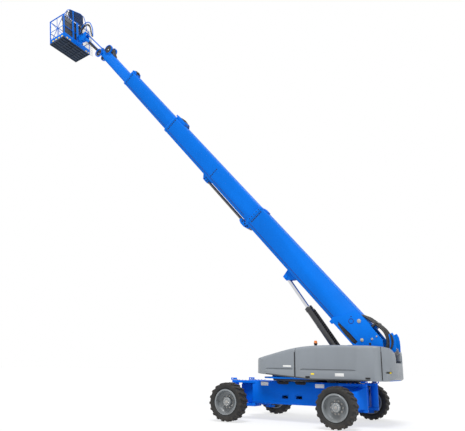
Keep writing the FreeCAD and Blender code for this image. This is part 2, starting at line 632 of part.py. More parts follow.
def make_lift_rod():
    shaft = rod((1000, 0, 0), (cylinder_reach, 0, 0), ROD_R)
    piston = rod((1000, 0, 0), (1110, 0, 0), BARREL_BORE - RUN)
    eye = rod((cylinder_reach, -ROD_EYE_HALF, 0), (cylinder_reach, ROD_EYE_HALF, 0), ROD_EYE_R)
    return fused([shaft, piston, eye]).common(
        fused([block(0, cylinder_reach - 60, -200, 200, -200, 200),
               block(cylinder_reach - 60, cylinder_reach + 200, -ROD_EYE_HALF, ROD_EYE_HALF, -200, 200)]))


parts["lift_cylinder_barrel"] = on_cylinder(make_lift_barrel())
parts["lift_cylinder_rod"] = on_cylinder(make_lift_rod())

# ---------------------------------------------------------------- jib
# The level bracket, the jib's outer head and the platform lean together by PLATFORM_TILT.
# Each is drawn level, with its own lower pin at the origin.
LEVEL_HALF = TIP["half"] - 45 - CLEAR
CHEEK = 22.0
JIB_PIN_R = 28.0
JIB_FOOT_FORWARD = 150.0
JIB_FOOT_ABOVE = 40.0
# the link's pin from the arm's pin, drawn level
UPPER_PIN = (-JIB_SPACING * sin(radians(JIB_LEAN + PLATFORM_TILT)),
             JIB_SPACING * cos(radians(JIB_LEAN + PLATFORM_TILT)))
HEAD_TOP = UPPER_PIN[1] + 60
TURN_PIN_R = 40.0
head_x, head_z = boom_place(HEAD_PIVOT_ALONG, HEAD_PIVOT_ABOVE)


def leaned(shape, x, z):
    return raised(shape, (x, 0, z), -PLATFORM_TILT)


def leaned_place(x, z, forward, above):
    """Machine x and z of a point drawn level from an origin at x, z and then leaned."""
    t = radians(PLATFORM_TILT)
    return x + forward * cos(t) + above * sin(t), z - forward * sin(t) + above * cos(t)


def cheeks(outline):
    """A pair of side plates of the bracket or head."""
    left = slab(outline, LEVEL_HALF - CHEEK, LEVEL_HALF)
    return [left, across(left)]


def cross_pin(x, z, half, radius):
    return rod((x, -half, z), (x, half, z), radius)


def make_level_bracket():
    """Swivelling foot of the jib, kept level on the boom's head."""
    x, z = JIB_FOOT_FORWARD, JIB_FOOT_ABOVE
    upper_x, upper_z = x + UPPER_PIN[0], z + UPPER_PIN[1]
    pieces = cheeks([(-60, -60), (60, -90), (x + 60, z - 60), (x + 60, z + 60), (upper_x + 60, upper_z + 60),
                     (upper_x - 60, upper_z + 60), (-80, 60)])
    pieces += [cross_pin(0, 0, LEVEL_HALF, 70), cross_pin(x, z, LEVEL_HALF, JIB_PIN_R),
               cross_pin(upper_x, upper_z, LEVEL_HALF, JIB_PIN_R)]
    return fused(pieces).cut(cross_pin(0, 0, 300, HEAD_PIN_R + RUN))


def jib_member(height, half, eye_r):
    """Arm of the jib, drawn level from pin to pin."""
    eye_half = LEVEL_HALF - CHEEK - CLEAR
    member = fused([block(0, JIB_LENGTH, -half, half, -height / 2, height / 2),
                    cross_pin(0, 0, eye_half, eye_r), cross_pin(JIB_LENGTH, 0, eye_half, eye_r)])
    for along in (0, JIB_LENGTH):
        member = member.cut(cross_pin(along, 0, 300, JIB_PIN_R + RUN))
    return member


def make_jib_head():
    """Carries the jib's outer pins and the platform's turning post."""
    post = MOUNT_REACH
    back, high = UPPER_PIN
    pieces = cheeks([(-60, -60), (post - 60, -60), (post - 60, HEAD_TOP), (back - 60, HEAD_TOP),
                     (back - 60, high - 60)])
    pieces += [cross_pin(0, 0, LEVEL_HALF, JIB_PIN_R), cross_pin(back, high, LEVEL_HALF, JIB_PIN_R),
               block(90, post, -LEVEL_HALF, LEVEL_HALF, -20, HEAD_TOP - 40),
               rod((post, 0, -60), (post, 0, HEAD_TOP), 95),
               rod((post, 0, -150), (post, 0, HEAD_TOP + 90), TURN_PIN_R)]
    return fused(pieces)


jib_foot_x, jib_foot_z = leaned_place(head_x, head_z, JIB_FOOT_FORWARD, JIB_FOOT_ABOVE)
link_foot_x, link_foot_z = leaned_place(head_x, head_z, JIB_FOOT_FORWARD + UPPER_PIN[0],
                                        JIB_FOOT_ABOVE + UPPER_PIN[1])
jib_end_x = jib_foot_x + JIB_LENGTH * cos(radians(JIB_ELEVATION))
jib_end_z = jib_foot_z + JIB_LENGTH * sin(radians(JIB_ELEVATION))
parts["level_bracket"] = leaned(make_level_bracket(), head_x, head_z)
parts["jib_arm"] = raised(jib_member(JIB_ARM_HEIGHT, 75, 50), (jib_foot_x, 0, jib_foot_z), JIB_ELEVATION)
parts["jib_link"] = raised(jib_member(JIB_LINK_HEIGHT, 35, 40), (link_foot_x, 0, link_foot_z), JIB_ELEVATION)
parts["jib_head"] = leaned(make_jib_head(), jib_end_x, jib_end_z)

# ---------------------------------------------------------------- platform
# Drawn level, with the jib's outer lower pin at the origin.
floor_z = -150.0
near_x = MOUNT_REACH + PLATFORM_SETBACK
far_x = near_x + PLATFORM_DEPTH
half_w = PLATFORM_WIDTH / 2
FLOOR_BEAM = 50.0
# The gate hangs on its own far bar
GATE_HINGE_X = far_x - 2 * RAIL_R - CLEAR - GATE_BAR_R
GATE_LOW = floor_z + FLOOR_THICK + 40
GATE_HIGH = floor_z + RAIL_HEIGHT - RAIL_R - CLEAR - GATE_BAR_R


def gate_hinge_heights():
    """Heights of the two lugs, clear of the gate's bars and toe board."""
    rise = (GATE_HIGH - GATE_LOW) * 0.225
    return GATE_LOW + rise, GATE_HIGH - rise


def rail(places, closed=False):
    """Round rails from place to place, with a ball at each joint."""
    ends = places[1:] + places[:1] if closed else places[1:]
    pieces = [Part.makeSphere(RAIL_R, point(*place)) for place in places]
    return pieces + [rod(a, b, RAIL_R) for a, b in zip(places, ends)]


def make_platform_rails():
    """Guard rails, posts and toe boards on three sides, and the top rail over the gate."""
    r = RAIL_R
    x0, x1, y1 = near_x + r, far_x - r, half_w - r
    base = floor_z + FLOOR_THICK
    top, middle = floor_z + RAIL_HEIGHT, floor_z + RAIL_HEIGHT * 0.5
    pieces = rail([(x0, y1, top), (x0, -y1, top), (x1, -y1, top), (x1, y1, top)], closed=True)
    pieces += rail([(x0, y1, middle), (x0, -y1, middle), (x1, -y1, middle), (x1, y1, middle)])
    hoop = [(x0, y1 - 30, top), (x0, 650, top + HOOP_RISE * 0.5), (x0, 450, top + HOOP_RISE * 0.7),
            (x0, -300, top + HOOP_RISE), (x0, -560, top + HOOP_RISE * 0.95), (x0, -700, top + HOOP_RISE * 0.5),
            (x0, -740, top)]
    pieces += rail(hoop)
    posts = [(x, y) for x in (x0, x1) for y in (-y1, -POST_SPREAD, POST_SPREAD, y1)] + [((x0 + x1) / 2, -y1)]
    pieces += [rod((x, y, base + RUN), (x, y, top), r) for x, y in posts]
    toe_low, toe_high = base + RUN, base + TOE_BOARD
    toe = TOE_THICK / 2
    pieces += [block(x0 - toe, x0 + toe, -y1, y1, toe_low, toe_high),
               block(x1 - toe, x1 + toe, -y1, y1, toe_low, toe_high),
               block(x0, x1, -y1 - toe, -y1 + toe, toe_low, toe_high)]
    for z in gate_hinge_heights():
        lug = block(GATE_HINGE_X - GATE_BAR_R - 10, x1, y1 - GATE_BAR_R - 8, y1 + GATE_BAR_R + 8, z - 16, z + 16)
        pieces.append(lug.cut(rod((GATE_HINGE_X, y1, z - 20), (GATE_HINGE_X, y1, z + 20), GATE_BAR_R + RUN)))
    return pieces[0].multiFuse(pieces[1:])


def make_platform_mount():
    """Post plate on the near rails, with two arms out to the turning pin."""
    base = floor_z + FLOOR_THICK
    arm_half = 70.0
    plate = block(near_x - 30, near_x - RUN, -arm_half, arm_half, base + RUN, floor_z + RAIL_HEIGHT)
    pieces = [plate]
    for low, high in ((base + RUN, -60 - CLEAR), (HEAD_TOP + CLEAR, HEAD_TOP + CLEAR + 50)):
        arm = fused([block(MOUNT_REACH, near_x - RUN, -arm_half, arm_half, low, high),
                     rod((MOUNT_REACH, 0, low), (MOUNT_REACH, 0, high), 90)])
        pieces.append(arm.cut(rod((MOUNT_REACH, 0, low - 10), (MOUNT_REACH, 0, high + 10), TURN_PIN_R + RUN)))
    return fused(pieces)


def make_platform_floor():
    """Floor plate on a frame of beams, open below between them."""
    floor = block(near_x, far_x, -half_w, half_w, floor_z, floor_z + FLOOR_THICK)
    bay = (PLATFORM_WIDTH - 5 * FLOOR_BEAM) / 4
    for number in range(4):
        y = -half_w + FLOOR_BEAM + number * (bay + FLOOR_BEAM)
        floor = floor.cut(block(near_x + FLOOR_BEAM, far_x - FLOOR_BEAM, y, y + bay,
                                floor_z - 1, floor_z + FLOOR_THICK - FLOOR_PLATE))
    return floor


def make_gate():
    """Swinging gate in the platform's left end, with crossed braces."""
    r = GATE_BAR_R
    x0, x1 = near_x + 2 * RAIL_R + CLEAR + r, GATE_HINGE_X
    y = half_w - RAIL_R
    z0, z1 = GATE_LOW, GATE_HIGH
    middle, level = (x0 + x1) / 2, (z0 + z1) / 2
    bars = [((x0, z0), (x1, z0)), ((x1, z0), (x1, z1)), ((x1, z1), (x0, z1)), ((x0, z1), (x0, z0)),
            ((x0, level), (x1, level)), ((middle, z0), (middle, z1)),
            ((x0, z0), (middle, level)), ((middle, level), (x1, z1)),
            ((x0, z1), (middle, level)), ((middle, level), (x1, z0))]
    pieces = []
    for (xa, za), (xb, zb) in bars:
        pieces += [rod((xa, y, za), (xb, y, zb), r), Part.makeSphere(r, point(xb, y, zb))]
    pieces.append(block(x0, x1, y - TOE_THICK / 2, y + TOE_THICK / 2, z0, z0 + TOE_BOARD))
    return fused(pieces)


def make_console():
    half = 330.0
    low, high = floor_z + 800, floor_z + 1120
    face = near_x + 2 * RAIL_R + RUN
    return slab([(face, low), (near_x + 230, low + 40), (near_x + 250, low + 180), (near_x + 60, high),
                 (face, high)], -half, half)


for name, maker in (("platform_rails", make_platform_rails), ("platform_mount", make_platform_mount),
                    ("platform_floor", make_platform_floor),
                    ("platform_gate", make_gate), ("control_console", make_console)):
    parts[name] = leaned(maker(), jib_end_x, jib_end_z)

# ---------------------------------------------------------------- write the parts
os.makedirs("parts", exist_ok=True)
for name, shape in parts.items():
    shape.exportStep("parts/" + name + ".step")
    print(name, len(shape.Solids), shape.isValid(), round(shape.Volume / 1e9, 4))
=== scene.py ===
import json
from math import cos, pi, radians, sin

import bmesh
import bpy
from mathutils import Matrix, Vector

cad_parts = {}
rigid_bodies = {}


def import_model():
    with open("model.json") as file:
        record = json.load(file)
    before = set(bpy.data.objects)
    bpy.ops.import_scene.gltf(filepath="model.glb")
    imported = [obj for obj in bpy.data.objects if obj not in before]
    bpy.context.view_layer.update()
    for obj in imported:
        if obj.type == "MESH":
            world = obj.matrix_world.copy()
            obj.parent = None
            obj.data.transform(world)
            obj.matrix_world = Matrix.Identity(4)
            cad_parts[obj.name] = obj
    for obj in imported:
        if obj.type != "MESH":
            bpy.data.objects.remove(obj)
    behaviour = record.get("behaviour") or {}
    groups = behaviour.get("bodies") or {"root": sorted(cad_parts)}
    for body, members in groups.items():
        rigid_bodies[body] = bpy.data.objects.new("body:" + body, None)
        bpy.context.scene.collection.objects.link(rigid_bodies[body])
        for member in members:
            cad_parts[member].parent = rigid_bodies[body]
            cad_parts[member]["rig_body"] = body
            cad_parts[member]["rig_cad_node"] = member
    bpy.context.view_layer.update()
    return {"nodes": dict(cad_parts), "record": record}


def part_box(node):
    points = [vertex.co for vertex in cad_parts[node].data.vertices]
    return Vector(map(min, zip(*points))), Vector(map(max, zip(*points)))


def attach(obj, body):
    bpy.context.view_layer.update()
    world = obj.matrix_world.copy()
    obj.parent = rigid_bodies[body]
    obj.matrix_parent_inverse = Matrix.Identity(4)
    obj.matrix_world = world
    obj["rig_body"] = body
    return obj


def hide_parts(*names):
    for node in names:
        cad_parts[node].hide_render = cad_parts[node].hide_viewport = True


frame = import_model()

# Telescopic boom lift, in metres. +X is forward along the boom, +Y the machine's left, +Z up.
# Each moulded, cast or cut piece stands in for its CAD node; the small fittings are added to it.

nodes = frame["nodes"]
joints = {joint["name"]: joint for joint in frame["record"]["behaviour"]["joints"]}
CORNERS = ("front_left", "front_right", "rear_left", "rear_right")

# ------------------------------------------------------------------ the frame's own places
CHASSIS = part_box("chassis_frame")
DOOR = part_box("left_hood_door")
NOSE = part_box("left_hood_nose")
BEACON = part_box("beacon")
HOOD_SIDE = DOOR[1].y
CHASSIS_SIDE = CHASSIS[1].y

FORWARD, UP = Vector((1, 0, 0)), Vector((0, 0, 1))


def turn_to(start, way):
    """Turn that carries one direction to another."""
    return start.rotation_difference(Vector(way)).to_matrix().to_4x4()


def joint_place(name):
    return Matrix.Translation(joints[name]["pos_m"])


jib_line = Vector(joints["jib_head_level"]["pos_m"]) - Vector(joints["jib_lift"]["pos_m"])
PLATFORM_TURN = turn_to(UP, joints["platform_turn"]["axis"])
ON_BOOM = joint_place("boom_luff") @ turn_to(FORWARD, joints["mid_extend"]["axis"])
ON_CYLINDER = joint_place("lift_barrel_swing") @ turn_to(FORWARD, joints["lift_rod_stroke"]["axis"])
ON_JIB = joint_place("jib_lift") @ turn_to(FORWARD, jib_line)
ON_BRACKET = joint_place("platform_level") @ PLATFORM_TURN
ON_PLATFORM = joint_place("jib_head_level") @ PLATFORM_TURN

# ------------------------------------------------------------------ finishes


def add_node(tree, kind, inputs, **settings):
    node = tree.nodes.new(kind)
    for key, value in settings.items():
        setattr(node, key, value)
    for key, value in inputs.items():
        if hasattr(value, "is_output"):
            tree.links.new(value, node.inputs[key])
        else:
            node.inputs[key].default_value = value
    return node


def noise(tree, place, scale, detail=4.0, stretch=None):
    if stretch:
        place = add_node(tree, "ShaderNodeMapping", {"Vector": place, "Scale": stretch}).outputs["Vector"]
    return add_node(tree, "ShaderNodeTexNoise",
                    {"Vector": place, "Scale": scale, "Detail": detail}).outputs["Fac"]


def spread(tree, value, low, high, out_low=0.0, out_high=1.0):
    return add_node(tree, "ShaderNodeMapRange", {"Value": value, "From Min": low, "From Max": high,
                                                 "To Min": out_low, "To Max": out_high}).outputs["Result"]


def times(tree, a, b):
    return add_node(tree, "ShaderNodeMath", {0: a, 1: b}, operation="MULTIPLY").outputs[0]


def mixed(tree, factor, a, b):
    node = add_node(tree, "ShaderNodeMix", {"Factor": factor}, data_type="RGBA")
    for socket, value in ((node.inputs[6], a), (node.inputs[7], b)):
        if hasattr(value, "is_output"):
            tree.links.new(value, socket)
        else:
            socket.default_value = value
    return node.outputs[2]


def shade(colour, amount):
    return tuple(min(1.0, channel * amount) for channel in colour) + (1.0,)


def make_finish(name, colour, roughness, metallic=0.0, coat=0.0, mottle=0.1, patch=1.6, streaks=0.0,
                low_colour=None, low_top=0.0, chips=None, grain=160.0, grain_depth=0.08, clear=0.0, shine=0.5):
    """Painted, moulded or bare surface with patchy colour, streaks, a colour that comes in towards the
    bottom, chips and a fine grain.
    """
    material = bpy.data.materials.new(name)
    material.use_nodes = True
    tree = material.node_tree
    shader = tree.nodes["Principled BSDF"]
    place = add_node(tree, "ShaderNodeTexCoord", {}).outputs["Object"]
    cloud = spread(tree, noise(tree, place, patch, 5.0), 0.3, 0.7)
    skin = mixed(tree, cloud, shade(colour, 1.0 - mottle), shade(colour, 1.0 + mottle))
    if streaks:
        runs = spread(tree, noise(tree, place, 5.0, 5.0, (1.0, 1.0, 0.08)), 0.5, 0.75, 0.0, streaks)
        skin = mixed(tree, runs, skin, shade(colour, 0.55))
    if chips:
        spots = spread(tree, noise(tree, place, 26.0, 3.0), 0.69, 0.73)
        skin = mixed(tree, spots, skin, chips + (1.0,))
    if low_colour:
        height = add_node(tree, "ShaderNodeSeparateXYZ", {"Vector": place}).outputs["Z"]
        low = spread(tree, height, 0.0, low_top, 0.85, 0.0)
        patches = spread(tree, noise(tree, place, 7.0, 6.0), 0.35, 0.7)
        skin = mixed(tree, times(tree, low, patches), skin, low_colour + (1.0,))
    tree.links.new(skin, shader.inputs["Base Color"])
    rub = spread(tree, noise(tree, place, 9.0, 5.0), 0.3, 0.7, max(0.03, roughness - 0.07), roughness + 0.09)
    tree.links.new(rub, shader.inputs["Roughness"])
    bumps = add_node(tree, "ShaderNodeBump", {"Height": noise(tree, place, grain, 3.0),
                                              "Strength": grain_depth, "Distance": 0.004})
    tree.links.new(bumps.outputs["Normal"], shader.inputs["Normal"])
    shader.inputs["Metallic"].default_value = metallic
    shader.inputs["Specular IOR Level"].default_value = shine
    shader.inputs["Coat Weight"].default_value = coat
    shader.inputs["Coat Roughness"].default_value = 0.12
    shader.inputs["Transmission Weight"].default_value = clear
    return material


EARTH = (0.07, 0.055, 0.042)
FINISHES = {
    "blue_paint": make_finish("boom_blue_paint", (0.001, 0.15, 0.66), 0.46, mottle=0.06, patch=0.7,
                              streaks=0.12, shine=0.08),
    # the chassis goes a darker blue towards its bottom
    "chassis_paint": make_finish("chassis_blue_paint", (0.001, 0.14, 0.7), 0.46, mottle=0.08, patch=1.2,
                                 streaks=0.15, low_colour=(0.03, 0.06, 0.16), low_top=0.6, shine=0.08),
    # painted shade: a darker blue standing in for the shadow along the boom's folds
    "painted_shade_blue": make_finish("painted_shade_seam_blue", (0.002, 0.03, 0.2), 0.6, mottle=0.2),
    "hood_plastic": make_finish("hood_grey_moulding", (0.2, 0.221, 0.243), 0.38, coat=0.55, mottle=0.05,
                                patch=0.9, streaks=0.1, grain=240.0, grain_depth=0.12),
    # painted shade: dark grey for the strips that stand in for the shade under the hoods' feet and in their
    # creases
    "hood_painted_shade": make_finish("hood_foot_painted_shade", (0.055, 0.062, 0.07), 0.55, mottle=0.15, patch=4.0, shine=0.3),
    "counterweight_iron": make_finish("counterweight_grey_casting", (0.216, 0.238, 0.262), 0.44, coat=0.1,
                                      mottle=0.07, streaks=0.15, grain=70.0, grain_depth=0.3,
                                      chips=(0.12, 0.11, 0.1)),
    "tyre": make_finish("tyre_rubber", (0.013, 0.0125, 0.012), 0.72, mottle=0.3, patch=5.0, low_colour=EARTH,
                        low_top=0.2, grain=90.0, grain_depth=0.35),
    "tread": make_finish("tyre_tread_rubber", (0.024, 0.0205, 0.018), 0.8, mottle=0.4, patch=9.0,
                         chips=(0.12, 0.095, 0.075), grain=60.0, grain_depth=0.6),
    "rim_paint": make_finish("rim_grey_paint", (0.2, 0.216, 0.226), 0.4, coat=0.15, mottle=0.08, patch=4.0,
                             streaks=0.2, low_colour=EARTH, low_top=0.55, chips=(0.2, 0.16, 0.13)),
    "black_paint": make_finish("black_cylinder_paint", (0.022, 0.023, 0.026), 0.36, coat=0.3, mottle=0.25,
                               patch=3.0, chips=(0.08, 0.08, 0.08)),
    "hose": make_finish("hose_rubber", (0.016, 0.016, 0.017), 0.6, mottle=0.4, patch=14.0, grain=320.0,
                        grain_depth=0.4),
    "seal": make_finish("seal_rubber", (0.008, 0.008, 0.009), 0.75, mottle=0.3, patch=20.0),
    "chrome": make_finish("chrome_rod", (0.62, 0.63, 0.66), 0.12, metallic=1.0, mottle=0.05, streaks=0.2,
                          grain=400.0, grain_depth=0.02),
    "bare_steel": make_finish("bare_steel", (0.42, 0.41, 0.39), 0.38, metallic=0.85, mottle=0.2, patch=12.0,
                              chips=(0.2, 0.12, 0.07), grain=300.0, grain_depth=0.15),
    "dark_steel": make_finish("oiled_steel", (0.16, 0.145, 0.125), 0.34, metallic=0.7, mottle=0.25,
                              patch=6.0),
    "zinc": make_finish("zinc_plated_bolts", (0.5, 0.44, 0.32), 0.4, metallic=0.8, mottle=0.25, patch=20.0),
    "engine": make_finish("engine_casting", (0.11, 0.115, 0.12), 0.55, metallic=0.3, mottle=0.3, patch=7.0,
                          grain=90.0, grain_depth=0.4),
    "tank": make_finish("tank_moulding", (0.03, 0.03, 0.032), 0.6, mottle=0.2, patch=5.0, grain=120.0),
    "floor_aluminium": make_finish("platform_floor_plate", (0.018, 0.032, 0.06), 0.55, metallic=0.3,
                                   mottle=0.25, patch=5.0, grain=70.0, grain_depth=0.5),
    "console_plastic": make_finish("console_moulding", (0.035, 0.037, 0.042), 0.5, mottle=0.2, patch=8.0),
    "grey_box": make_finish("control_box_grey", (0.12, 0.13, 0.145), 0.45, mottle=0.15, patch=8.0),
    "dark_mesh": make_finish("dark_blue_mesh", (0.006, 0.035, 0.12), 0.55, mottle=0.3, patch=9.0, shine=0.2),
    "beacon": make_finish("beacon_lens", (0.85, 0.22, 0.02), 0.16, coat=0.6, mottle=0.15, patch=25.0,
                          grain=60.0, grain_depth=0.2, clear=0.25),
    "blank_plate": make_finish("blank_pale_plate", (0.72, 0.72, 0.7), 0.35, coat=0.3, mottle=0.05,
                               patch=15.0),
    "yellow_paint": make_finish("yellow_marking", (1.0, 0.7, 0.0), 0.6, mottle=0.08, patch=18.0, shine=0.1),
    "red_plastic": make_finish("red_push_button", (0.5, 0.012, 0.01), 0.3, coat=0.4, mottle=0.15, patch=30.0),
}

# ------------------------------------------------------------------ workshop steps


def only(*pieces):
    """Select these pieces and nothing else, the first one active."""
    bpy.ops.object.select_all(action="DESELECT")
    for piece in pieces:
        piece.select_set(True)
    bpy.context.view_layer.objects.active = pieces[0] if pieces else None


def joined(*pieces):
    only(*pieces)
    if len(pieces) > 1:
        bpy.ops.object.join()
    return bpy.context.object


def whole(piece):
    """One piece, joined from a list where it comes as a list."""
    return joined(*piece) if isinstance(piece, list) else piece


def settle(piece, place=None):
    """Put the piece's place into its mesh."""
    piece = whole(piece)
    if place is not None:
        piece.matrix_world = place @ piece.matrix_world
    only(piece)
    bpy.ops.object.transform_apply(location=True, rotation=True, scale=True)
    return piece


def start_editing(piece):
    only(piece)
    bpy.ops.object.mode_set(mode="EDIT")
    bpy.ops.mesh.select_mode(type="VERT")
    bpy.ops.mesh.select_all(action="SELECT")


def stop_editing():
    bpy.ops.object.mode_set(mode="OBJECT")


def choose_faces(piece, test):
    """While editing, select the faces whose middle and normal pass a test."""
    bpy.ops.mesh.select_mode(type="FACE")
    bpy.ops.mesh.select_all(action="DESELECT")
    shape = bmesh.from_edit_mesh(piece.data)
    for face in shape.faces:
        if test(face.calc_center_median(), face.normal):
            face.select_set(True)
    bmesh.update_edit_mesh(piece.data)


def block(low, high, rounding=0.004):
    """Box from corner to corner with its edges bevelled."""
    low, high = Vector(low), Vector(high)
    only()
    bpy.ops.mesh.primitive_cube_add(size=1, location=(low + high) / 2, scale=high - low)
    piece = settle(bpy.context.object)
    start_editing(piece)
    bpy.ops.mesh.bevel(offset=rounding, segments=2, affect="EDGES")
    stop_editing()
    return piece


def drawn(places, closed=True):
    """A line drawn out from one vertex, place by place."""
    places = [Vector(place) for place in places]
    only()
    bpy.ops.mesh.primitive_plane_add(size=0.01, location=places[0])
    piece = settle(bpy.context.object)
    start_editing(piece)
    bpy.ops.mesh.merge(type="CENTER")
    for start, end in zip(places, places[1:]):
        bpy.ops.mesh.extrude_region_move(TRANSFORM_OT_translate={"value": end - start})
    if closed:
        bpy.ops.mesh.select_all(action="DESELECT")
        shape = bmesh.from_edit_mesh(piece.data)
        shape.verts.ensure_lookup_table()
        for corner in (shape.verts[0], shape.verts[-1]):
            corner.select_set(True)
        bmesh.update_edit_mesh(piece.data)
        bpy.ops.mesh.edge_face_add()
    stop_editing()
    return piece


def plate(places, thickness, rounding=0.003):
    """Flat outline, filled, thickened and with its edges bevelled."""
    piece = drawn(places)
    start_editing(piece)
    bpy.ops.mesh.edge_face_add()
    bpy.ops.mesh.extrude_region_move(TRANSFORM_OT_translate={"value": Vector(thickness)})
    bpy.ops.mesh.select_all(action="SELECT")
    bpy.ops.mesh.normals_make_consistent(inside=False)
    if rounding:
        bpy.ops.mesh.bevel(offset=rounding, segments=2, affect="EDGES")
    stop_editing()
    return piece


def upright(outline, y, thickness, rounding=0.003):
    """Plate that stands along the machine at y, cut to an outline of (x, z)."""
    return plate([(x, y, z) for x, z in outline], (0, thickness, 0), rounding)


def lathe(profile, middle=(0, 0, 0), axis="Z", steps=40):
    """Outline of (along, radius) spun round an axis through the middle."""
    way = {"X": Vector((1, 0, 0)), "Y": Vector((0, 1, 0)), "Z": Vector((0, 0, 1))}[axis]
    out = Vector((1, 0, 0)) if axis != "X" else Vector((0, 0, 1))
    middle = Vector(middle)
    ring = profile[0][1] > 0 or profile[-1][1] > 0
    piece = drawn([middle + way * along + out * radius for along, radius in profile], closed=ring)
    start_editing(piece)
    bpy.ops.mesh.spin(steps=steps, angle=2 * pi, center=middle, axis=way)
    bpy.ops.mesh.select_all(action="SELECT")
    bpy.ops.mesh.remove_doubles(threshold=0.0002)
    bpy.ops.mesh.normals_make_consistent(inside=False)
    stop_editing()
    return piece


def drum(start, end, inner, outer):
    """Profile of a plain ring, or of a disc where the inner radius is nought."""
    return [(start, inner), (start, outer), (end, outer), (end, inner)]


def hose(places, radius):
    """Round hose or pipe held along its way."""
    curve = bpy.data.curves.new("hose_line", "CURVE")
    curve.dimensions = "3D"
    curve.bevel_depth = radius
    curve.bevel_resolution = 2
    curve.resolution_u = 5
    curve.use_fill_caps = True
    line = curve.splines.new("NURBS")
    line.points.add(len(places) - 1)
    for corner, place in zip(line.points, places):
        corner.co = (*place, 1)
    line.order_u = 3
    line.use_endpoint_u = True
    piece = bpy.data.objects.new("hose_line", curve)
    bpy.context.scene.collection.objects.link(piece)
    only(piece)
    bpy.ops.object.convert(target="MESH")
    return bpy.context.object


def copied(piece, place=None):
    only(piece)
    bpy.ops.object.duplicate(linked=False)
    return settle(bpy.context.object, place)


def repeated(master, places):
    """One piece made of copies of a master; the master goes."""
    copies = [copied(master, place) for place in places]
    bpy.data.objects.remove(master)
    return joined(*copies)


def other_side(piece):
    """A copy of the piece across the machine."""
    twin = copied(piece, Matrix.Diagonal((1, -1, 1, 1)))
    start_editing(twin)
    bpy.ops.mesh.normals_make_consistent(inside=False)
    stop_editing()
    return twin


def facing(place, way):
    """Turn that points a piece drawn upwards that way, from a place."""
    return Matrix.Translation(place) @ turn_to(UP, way)


def circle(middle, radius, count, way, start=0.0):
    """Places on a circle round a middle, facing along an upright or a sideways way."""
    other = Vector((0, 1, 0)) if way[2] else UP
    places = []
    for number in range(count):
        angle = 2 * pi * (number + start) / count
        offset = FORWARD * radius * cos(angle) + other * radius * sin(angle)
        places.append(facing(Vector(middle) + offset, way))
    return places


def bolt_head(radius, height):
    """Hexagon head on a washer, pointing up."""
    only()
    bpy.ops.mesh.primitive_cylinder_add(vertices=6, radius=radius, depth=height, location=(0, 0, height / 2))
    head = settle(bpy.context.object)
    start_editing(head)
    choose_faces(head, lambda middle, normal: normal.z > 0.9)
    bpy.ops.mesh.inset(thickness=radius * 0.18, depth=height * 0.15)
    stop_editing()
    only()
    bpy.ops.mesh.primitive_cylinder_add(vertices=12, radius=radius * 1.4, depth=height * 0.25,
                                        location=(0, 0, height * 0.12))
    washer = settle(bpy.context.object)
    start_editing(washer)
    choose_faces(washer, lambda middle, normal: normal.z > 0.9)
    bpy.ops.mesh.bevel(offset=height * 0.08, segments=1, affect="EDGES")
    stop_editing()
    return joined(head, washer)


def bolt_row(radius, height, spots, way):
    """Bolt heads at these spots, all facing one way."""
    return repeated(bolt_head(radius, height), [facing(spot, way) for spot in spots])


def cut_from(piece, cutter):
    """Take a cutter's shape out of a piece; the cutter goes."""
    only(piece)
    cut = piece.modifiers.new("cut", "BOOLEAN")
    cut.operation = "DIFFERENCE"
    cut.solver = "EXACT"
    cut.object = cutter
    bpy.ops.object.modifier_apply(modifier=cut.name)
    bpy.data.objects.remove(cutter)


def soften(piece, test, width):
    """Round the sharp edges whose middle passes a test."""
    start_editing(piece)
    bpy.ops.mesh.select_mode(type="EDGE")
    bpy.ops.mesh.select_all(action="DESELECT")
    shape = bmesh.from_edit_mesh(piece.data)
    for edge in shape.edges:
        if len(edge.link_faces) == 2 and edge.calc_face_angle(0) > 0.7:
            edge.select_set(test((edge.verts[0].co + edge.verts[1].co) / 2))
    bmesh.update_edit_mesh(piece.data)
    bpy.ops.mesh.bevel(offset=width, segments=4, affect="EDGES", clamp_overlap=True)
    stop_editing()


def finer(node, rounding, cutters=(), soft=None):
    """A CAD node's shape with its triangles joined up, cut where wanted and its edges rounded."""
    piece = copied(nodes[node])
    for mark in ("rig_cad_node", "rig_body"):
        if mark in piece:
            del piece[mark]
    place = piece.matrix_world.copy()
    piece.parent = None
    piece.matrix_world = place
    start_editing(piece)
    bpy.ops.mesh.remove_doubles(threshold=0.00005)
    bpy.ops.mesh.dissolve_limited(angle_limit=radians(0.6))
    stop_editing()
    if soft:
        soften(piece, *soft)
    for cutter in cutters:
        cut_from(piece, cutter)
    only(piece)
    edges = piece.modifiers.new("edges", "BEVEL")
    edges.width = rounding
    edges.segments = 2
    edges.limit_method = "ANGLE"
    edges.angle_limit = radians(32)
    bpy.ops.object.modifier_apply(modifier=edges.name)
    return piece


def keep(piece, name, body, finish, stands_for=None, smooth=34):
    """Name, smooth and dress a finished piece, and hang it on its body."""
    piece = whole(piece)
    piece.name = name
    piece.data.name = name
    only(piece)
    bpy.ops.object.shade_smooth_by_angle(angle=radians(smooth))
    piece.data.materials.clear()
    piece.data.materials.append(FINISHES[finish])
    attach(piece, body)
    if stands_for:
        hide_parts(stands_for)
    return piece


def keep_finer(node, rounding, name, body, finish, smooth=34, cutters=(), soft=None):
    """The finer copy of a CAD node, kept in that node's place."""
    keep(finer(node, rounding, cutters, soft), name, body, finish, node, smooth)


def keep_both(piece, name, body, finish):
    """A left-hand piece and its twin across the machine, on one body or on the two doors."""
    piece = whole(piece)
    twin = other_side(piece)
    for side, kept in (("left_", piece), ("right_", twin)):
        keep(kept, side + name, side + body if body == "door" else body, finish)


